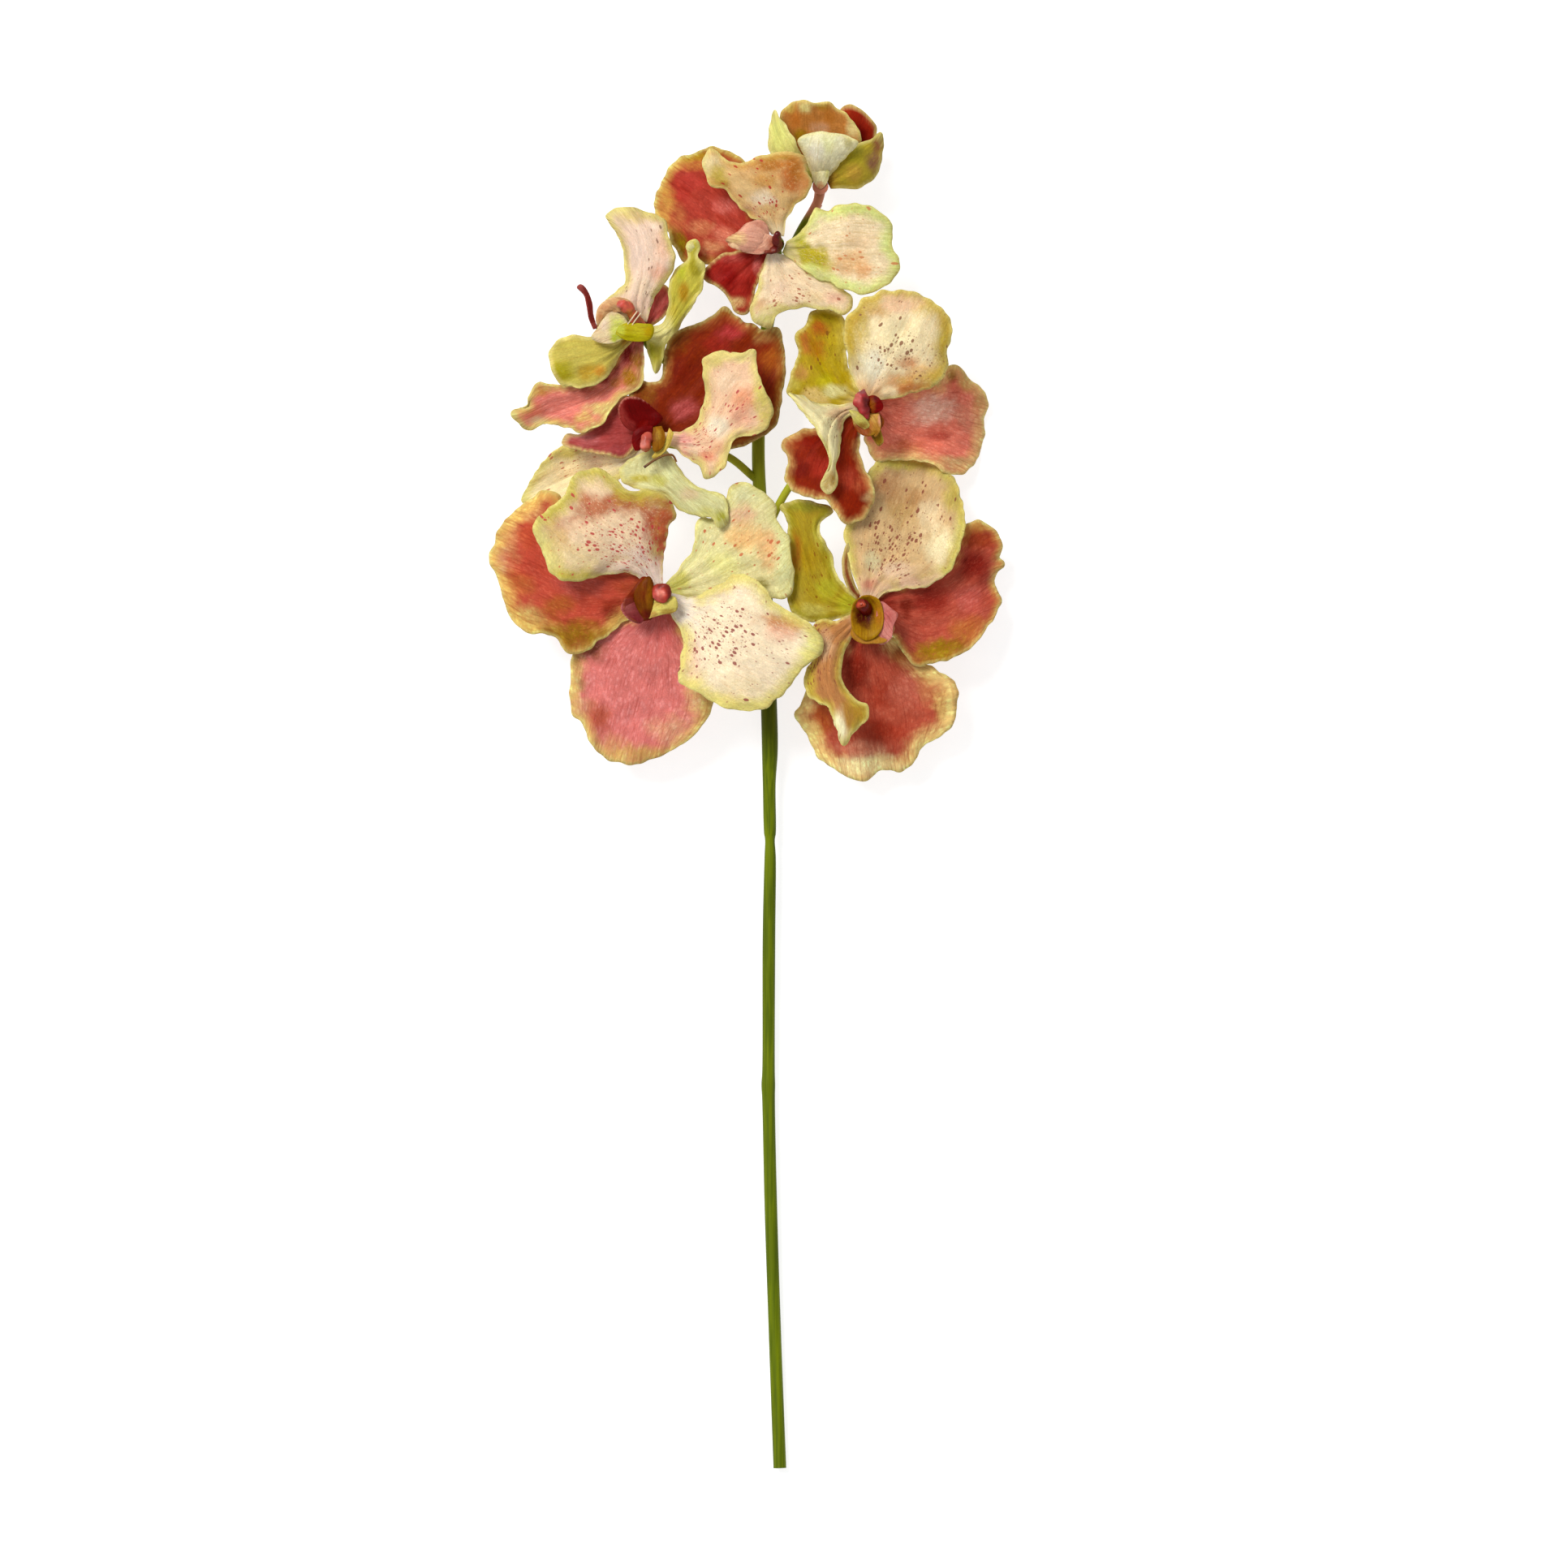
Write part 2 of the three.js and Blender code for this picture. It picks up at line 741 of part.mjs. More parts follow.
// A blade stretched inside its rim: two sides, a tip and a claw, blended into one patch.
function bladePoints(heart, petal) {
  const rim = rimCurve(heart, petal);
  const clawStart = rim.getPointAt(0);
  const clawEnd = rim.getPointAt(1);
  const tipStart = rim.getPointAt(TIP_FROM);
  const tipEnd = rim.getPointAt(TIP_TO);
  const points = [];
  for (let j = 0; j <= CELLS_ALONG; j++) {
    const t = j / CELLS_ALONG;
    const firstSide = rim.getPointAt(TIP_FROM * t);
    const secondSide = rim.getPointAt(1 - (1 - TIP_TO) * t);
    for (let i = 0; i <= CELLS_ACROSS; i++) {
      const s = i / CELLS_ACROSS;
      const tip = rim.getPointAt(THREE.MathUtils.lerp(TIP_FROM, TIP_TO, s));
      const tipChord = tipStart.clone().lerp(tipEnd, s);
      const point = firstSide.clone().lerp(secondSide, s);
      point.addScaledVector(tip.sub(tipChord), t);
      point.z += petal.arch * 16 * s * (1 - s) * t * (1 - t);
      point.z += ruffle(s, t, petal);
      points.push(point);
    }
  }
  points[0].copy(clawStart);
  points[CELLS_ACROSS].copy(clawEnd);
  evenOut(points);
  return points;
}

// Spreads the inner points of a blade's grid evenly as seen from above, so that it has no fold
// beside a hollow in its rim. Each point keeps its height.
function evenOut(points) {
  const columns = CELLS_ACROSS + 1;
  for (let pass = 0; pass < EVENING_PASSES; pass++) {
    for (let j = 1; j < CELLS_ALONG; j++) {
      for (let i = 1; i < CELLS_ACROSS; i++) {
        const at = (across, along) => points[(j + along) * columns + i + across];
        const halfAcross = { x: (at(1, 0).x - at(-1, 0).x) / 2, y: (at(1, 0).y - at(-1, 0).y) / 2 };
        const halfAlong = { x: (at(0, 1).x - at(0, -1).x) / 2, y: (at(0, 1).y - at(0, -1).y) / 2 };
        const alpha = halfAlong.x ** 2 + halfAlong.y ** 2;
        const beta = halfAcross.x * halfAlong.x + halfAcross.y * halfAlong.y;
        const gamma = halfAcross.x ** 2 + halfAcross.y ** 2;
        for (const axis of ["x", "y"]) {
          const corners = at(1, 1)[axis] - at(-1, 1)[axis] - at(1, -1)[axis] + at(-1, -1)[axis];
          const sum =
            alpha * (at(1, 0)[axis] + at(-1, 0)[axis]) +
            gamma * (at(0, 1)[axis] + at(0, -1)[axis]) -
            (beta * corners) / 2;
          at(0, 0)[axis] = sum / (2 * (alpha + gamma));
        }
      }
    }
  }
}

// Waves along the edge of a blade, fading towards its middle and its claw.
function ruffle(s, t, petal) {
  const edge = Math.max(Math.abs(2 * s - 1), t) ** 4;
  const turn = Math.atan2(t - RUFFLE_CENTRE, s - 0.5);
  const phase = petal.rim[0][0] + petal.rim[0][1];
  return (petal.wave ?? 0) * edge * Math.sqrt(t) * Math.sin(RUFFLES * turn + phase);
}

// A closed sheet of even thickness about a grid of points, split alike on both faces.
function sheet(points, thickness) {
  const columns = CELLS_ACROSS + 1;
  const faces = [];
  for (let j = 0; j < CELLS_ALONG; j++) {
    for (let i = 0; i < CELLS_ACROSS; i++) {
      const a = j * columns + i;
      const b = a + 1;
      const c = a + columns;
      const d = c + 1;
      if (i < CELLS_ACROSS / 2) {
        faces.push([a, b, c], [b, d, c]);
      } else {
        faces.push([a, b, d], [a, d, c]);
      }
    }
  }
  const middle = new THREE.BufferGeometry().setFromPoints(points);
  middle.setIndex(faces.flat());
  middle.computeVertexNormals();
  const normals = middle.getAttribute("normal");
  const upper = [];
  const lower = [];
  points.forEach((point, i) => {
    const normal = new THREE.Vector3().fromBufferAttribute(normals, i);
    upper.push(point.clone().addScaledVector(normal, thickness / 2));
    lower.push(point.clone().addScaledVector(normal, -thickness / 2));
  });
  const count = points.length;
  const border = [];
  for (let i = 0; i < CELLS_ACROSS; i++) border.push(i);
  for (let j = 0; j < CELLS_ALONG; j++) border.push(j * columns + CELLS_ACROSS);
  for (let i = CELLS_ACROSS; i > 0; i--) border.push(CELLS_ALONG * columns + i);
  for (let j = CELLS_ALONG; j > 0; j--) border.push(j * columns);
  const indices = [];
  for (const [a, b, c] of faces) {
    indices.push(a, b, c);
    indices.push(a + count, c + count, b + count);
  }
  border.forEach((a, k) => {
    const b = border[(k + 1) % border.length];
    indices.push(a, a + count, b, b, a + count, b + count);
  });
  const geometry = new THREE.BufferGeometry().setFromPoints([...upper, ...lower]);
  geometry.setIndex(indices);
  return geometry;
}

// A round post from one point to another, its end a dome.
function roundedPost(from, to, radius) {
  const start = new THREE.Vector3(...from);
  const reach = new THREE.Vector3(...to).sub(start);
  const length = reach.length();
  const profile = COLUMN_OUTLINE.map(([wide, high]) => new THREE.Vector2(radius * wide, length * high));
  const geometry = new THREE.LatheGeometry(profile, COLUMN_SIDES);
  const turn = new THREE.Quaternion().setFromUnitVectors(new THREE.Vector3(0, 1, 0), reach.normalize());
  geometry.applyQuaternion(turn);
  geometry.translate(start.x, start.y, start.z);
  return geometry;
}

function named(name, geometry, colour, roughness) {
  const material = new THREE.MeshStandardMaterial({ color: colour, roughness, metalness: 0 });
  geometry.computeVertexNormals();
  const mesh = new THREE.Mesh(geometry, material);
  mesh.name = name;
  return mesh;
}

// The end of a stalk that the claws sit round: a short upright post.
function knob(heart) {
  const [x, y, z] = heart;
  const depth = KNOB_DEPTH + KNOB_TOP;
  const foot = KNOB_RADIUS * KNOB_FOOT_SHARE;
  const geometry = new THREE.CylinderGeometry(KNOB_RADIUS, foot, depth, KNOB_SIDES);
  geometry.rotateX(Math.PI / 2);
  geometry.translate(x, y, z + KNOB_TOP - depth / 2);
  return toSolid(geometry);
}

function stem() {
  let solid = toSolid(taperedTube(STEM_PATH, STEM_SIDES, STEM_STEPS));
  for (const bloom of Object.values(BLOOMS)) {
    const [x, y, z] = bloom.heart;
    const path = [...bloom.stalk, [x, y, z - KNOB_DEPTH + 1]].map((point) => [...point, STALK_RADIUS]);
    solid = solid.add(toSolid(taperedTube(path, STALK_SIDES, STALK_STEPS))).add(knob(bloom.heart));
  }
  solid = solid.add(toSolid(taperedTube(BUD.stalk, STALK_SIDES, STALK_STEPS))).add(knob(BUD.heart));
  return named("stem", toGeometry(solid), STEM_GREEN, STEM_ROUGHNESS);
}

// The column leans from the top of the knob, just clear of it.
function column(heart, top) {
  const [x, y, z] = heart;
  const lowest = z + KNOB_TOP + CLEARANCE;
  const lean = Math.atan2(Math.hypot(top[0] - x, top[1] - y), top[2] - lowest - COLUMN_RADIUS / 2);
  return roundedPost([x, y, lowest + COLUMN_RADIUS * Math.sin(lean)], top, COLUMN_RADIUS);
}

// The lip is a small thick blade in front of the petals. On a bloom seen from the side its narrow
// tongue stands out beyond it.
function lip(bloom) {
  const blade = sheet(bladePoints(bloom.heart, { ...bloom.lip, level: LIP_LEVEL }), LIP_THICKNESS);
  if (!bloom.lip.tongue) return blade;
  const tongue = taperedTube(bloom.lip.tongue, STALK_SIDES, STALK_STEPS);
  return toGeometry(toSolid(blade).add(toSolid(tongue)));
}

const spray = new THREE.Group();
spray.add(stem());
for (const [bloomName, bloom] of Object.entries(BLOOMS)) {
  for (const [petalName, petal] of Object.entries(bloom.petals)) {
    const blade = sheet(bladePoints(bloom.heart, petal), PETAL_THICKNESS);
    spray.add(named(`${bloomName}_${petalName}`, blade, petal.colour, PETAL_ROUGHNESS));
  }
  spray.add(named(`${bloomName}_lip`, lip(bloom), MAROON, LIP_ROUGHNESS));
  spray.add(named(`${bloomName}_column`, column(bloom.heart, bloom.column), COLUMN_RED, COLUMN_ROUGHNESS));
}
for (const [petalName, petal] of Object.entries(BUD.petals)) {
  const blade = sheet(bladePoints(BUD.heart, petal), PETAL_THICKNESS);
  spray.add(named(`bud_${petalName}`, blade, petal.colour, PETAL_ROUGHNESS));
}

// The part's origin is on the table, below the middle of the box round the spray.
const box = new THREE.Box3().setFromObject(spray, true);
spray.position.set(-(box.min.x + box.max.x) / 2, -(box.min.y + box.max.y) / 2, -box.min.z);

export default spray;
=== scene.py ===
import json
import math
from collections import namedtuple

import bpy
import numpy as np
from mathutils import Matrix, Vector, noise


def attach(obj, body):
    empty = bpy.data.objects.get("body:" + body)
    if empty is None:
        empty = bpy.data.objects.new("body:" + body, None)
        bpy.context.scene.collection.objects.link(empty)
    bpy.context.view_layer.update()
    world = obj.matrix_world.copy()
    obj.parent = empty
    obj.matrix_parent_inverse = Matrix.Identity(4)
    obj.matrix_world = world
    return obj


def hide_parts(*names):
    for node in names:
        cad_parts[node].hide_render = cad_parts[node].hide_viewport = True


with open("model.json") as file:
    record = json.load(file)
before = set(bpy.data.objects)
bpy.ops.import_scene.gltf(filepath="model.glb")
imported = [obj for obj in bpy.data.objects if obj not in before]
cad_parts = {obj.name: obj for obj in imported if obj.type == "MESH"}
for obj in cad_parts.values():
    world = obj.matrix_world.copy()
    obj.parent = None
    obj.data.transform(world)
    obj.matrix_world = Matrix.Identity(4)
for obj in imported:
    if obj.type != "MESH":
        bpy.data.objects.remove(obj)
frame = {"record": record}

# The spray is drawn in millimetres as seen from straight above, with the cut end of the stem at Y = 0,
# and then moved to the frame's own place and size.
MM = 0.001
FRAME_SHIFT = np.array([9.807, -295.527, -0.031])

# What the camera takes in
VIEW_CENTRE = (6.3, 296.1)
VIEW_WIDTH = 676.2
FLOWER_HEIGHT = 40
CAMERA_HEIGHT = 10000
SENSOR_WIDTH = 36

# The stalks, the knob at the end of each, and the claws round it
STALK_RADIUS = 1.7
STALK_SWELL = 1.2
STALK_END = -7
KNOB_RADIUS = 3.4
KNOB_DEPTH = 8
KNOB_NECK = 4
KNOB_TAPER = 0.7
KNOB_TOP = 1.2
CLEARANCE = 0.3
CLAW_HALF_WIDTH = 2.7
CLAW_LOWEST = -6
CLAW_STEP = 1.6
LIP_LEVEL = 5.4

# Blades: where on the rim the heights are given, and which share of it is the tip
RIM_STATIONS = (0, 0.27, 0.5, 0.73, 1)
TIP_FROM = 0.36
TIP_TO = 0.64
PETAL_THICKNESS = 0.7
LIP_THICKNESS = 1.0
LOBE_THICKNESS = 0.8
RIM_THICKNESS_SHARE = 0.45
LEAST_THICKNESS_SHARE = 0.1
THINNED_WIDTH = 4

# Waves of a blade's edge, and the crinkles in its outline
RUFFLES = 6
RUFFLE_CENTRE = 0.4
CRINKLE = 1.1
CRINKLE_LENGTH = 4.5
CRINKLE_FULL_RIM = 120
CRINKLE_CLEAR = 12

# Relief on a blade: broad swells, a frill along the rim, ribs, folds near the claw, a midrib groove and
# a rolled-back edge. Each has its height, and its length or number, or how far in from the rim it reaches.
SWELL, SWELL_LENGTH = 1.2, 17
WARP_LENGTH, RIB_WARP, FOLD_WARP = 11, 0.02, 0.05
FRILL, FRILL_LENGTH, FRILL_REACH = 1.9, 7.5, 5
RIB, RIBS = 0.05, 9
FOLD, FOLDS = 0.4, 3.5
GROOVE, GROOVE_WIDTH = 0.5, 0.04
ROLL, ROLL_REACH = 0.9, 1.6
CALM_CLAW = 0.2
RELIEF_SHARES = {"lip": 0.4, "bud": 0.5}
LOBE_RELIEF = 0.25
BASE_RELIEF = 0.3
CURL_RELIEF = 0.3

# Small bumps on the columns
BUMP_LENGTH = 2.2
COLUMN_BUMPS = 0.9

# Painting: how soft a wash's border is, the noises that loosen it, each with its strength, its length and
# its seed's shift, and where the coloured margin gives way near the heart
WASH_FULL = 0.3
WASH_BORDER = 1.1
LOOSE_NOISES = ((0.4, 7, 9), (0.3, 2.8, 21))
LOOSE_FULL_SIZE = 30
DOT_NOISE, DOT_NOISE_LENGTH = 0.5, 5
HEART_CLEAR = 8
HEART_FADE = 10

# The pale line along the very edge of a petal, partly its own pale rim and partly a painted highlight,
# stray dots, and specks of the core colour in the washes
EDGE_TINT_AND_HIGHLIGHT = (234, 222, 138)
EDGE_LINE = 0.75
EDGE_WIDTH = 2
EDGE_PLAIN_CLAW = 0.12
FRECKLES = 0.06
SPECK_SHARE = 0.6

# The sockets of a mixing node that mixes colours
MIX_SHARE, MIX_UNDER, MIX_OVER, MIX_RESULT = 0, 6, 7, 2

# Patterns in a blade's skin, as their fineness across its growth, along it and from blade to blade
FLOW_WIDTH = 0.3
FLOW_LENGTH = 0.38
FLOW_APART = 7.0
SPECKS = (0.8, 0.5, 1)
MOTTLING = (0.16, 0.11, 1)
GRAIN = (1.5, 1.2, 1)
STREAKS = (0.9, 0.08, 1)
FLECKS = (0.62, 0.36, 1)
FLECK_PATCHES = (0.2, 0.24, 1)
LARGE_SPOTS = (0.46, 0.32, 1)
SMALL_SPOTS = (0.9, 0.7, 1)

# How far light sinks into petals and into the wax of a column, for red, green and blue
PETAL_DEPTH = (0.0014, 0.0008, 0.0004)
WAX_DEPTH = (0.002, 0.0008, 0.0005)

# The stem's greens, its painted shade among the lowest blooms, the yellower green of the stalks and the pink
# of the bud's stalk
STEM_GREENS = ((90, 106, 4), (118, 132, 12))
STEM_BLOTCH = (66, 80, 4)
STEM_SHADED = (62, 66, 14)
STALK_GREEN = (178, 182, 52)
BUD_STALK_PINKS = ((190, 112, 90), (210, 146, 118))
STEM_LINES = (900, 22, 900)
STEM_BLOTCHES = (60, 14, 60)

# Mesh fineness, and how often the grid's points are evened out
CELL_LENGTH = 2.6
LEAST_CELLS = 24
MOST_CELLS = 76
COARSE_CELLS = 12
COARSE_PASSES = 150
FINE_PASSES = 40

# Studio lights, how far they light a flat white thing past white, the light that the petals' sheen adds
# and the glow that keeps the floor's shadows faint
SKY_STRENGTH = 0.58
SUN_STRENGTH = 3.0
SUN_FROM = (-0.55, 0.6, 1.1)
STUDIO_LIGHT = 1.3
SHEEN = 0.006
FLOOR_GLOW = 0.75
FLOOR_LEVEL = -0.001

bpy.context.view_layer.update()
bpy.ops.object.select_all(action="DESELECT")

MAROON = (110, 26, 18)
Blade = namedtuple("Blade", "heights arch rim towards level wave foot", defaults=(None, 0, 0, None))
Paint = namedtuple("Paint", "core heart washes rim edges spot dots", defaults=(None, (), MAROON, ()))
Look = namedtuple("Look", "name streak streak_share fleck fleck_share roughness lift", defaults=(1.0,))

# The skin of each kind of blade: the colours and shares of its veins and of its paler flecks, its
# roughness and how much lighter its mottling makes it
LOOKS = {
    "petal": Look("petal_cream", (232, 198, 170), 0.3, (278, 280, 284), 0.6, 0.55, 1.06),
    "red_sepal": Look("sepal_red", (186, 100, 84), 0.4, (286, 330, 340), 0.6, 0.52),
    "green_sepal": Look("sepal_green", (214, 196, 140), 0.4, (284, 288, 300), 0.6, 0.52),
    "lip": Look("lip_dark", (190, 140, 130), 0.5, (290, 300, 300), 0.4, 0.42),
}

# Stem: points up its middle, with the radius at each. The first is the cut end.
STEM_PATH = [
    [4.5, 0, 3.1, 2.8], [2.4, 57, 3.3, 2.7], [0.6, 113, 3.9, 2.75], [-0.4, 160, 4.7, 2.8],
    [-0.5, 166, 4.8, 3.0], [-0.4, 172, 4.9, 2.75], [-0.2, 232, 6.6, 2.75], [0.3, 264, 7.8, 2.5],
    [0.2, 272, 8.1, 2.15], [0.2, 275, 8.2, 2.6], [-0.1, 296, 9.2, 2.8], [0.2, 311, 10, 3.45],
    [-0.2, 330, 11.4, 3.5], [-1.5, 370, 14, 3.2], [-3.5, 410, 16.5, 2.9], [-4.8, 440, 18.2, 2.8],
    [-3, 480, 20.5, 2.7], [3, 510, 22.5, 2.6], [13, 533, 24.5, 2.4], [21, 547, 26, 2.1],
]

# The middle of each heart, and the points of its stalk below it
HEARTS = {
    "bloom_a": [-47, 378, 42],
    "bloom_b": [42, 371, 42],
    "bloom_c": [41, 460, 42],
    "bloom_d": [-52, 445, 38],
    "bloom_e": [-56, 492, 38],
    "bloom_f": [3, 529, 42],
    "bud": [22, 554, 33],
}
STALKS = {
    "bloom_a": [[-2, 352, 13], [-22, 361, 18], [-41, 372, 26]],
    "bloom_b": [[0, 342, 12], [18, 352, 17], [36, 365, 26]],
    "bloom_c": [[-3, 402, 16], [9, 425, 22], [34, 452, 28]],
    "bloom_d": [[-6, 428, 18], [-19, 438, 23], [-44, 443, 26]],
    "bloom_e": [[-4, 460, 19.5], [-26, 467, 22], [-50, 483, 26]],
    "bloom_f": [[0, 498, 21.5], [3, 510, 24], [4, 520, 28]],
}
BUD_STALK = [[18, 542, 25.5, 2.1], [21, 548, 27, 2.1], [22, 553, 26, 2.4]]

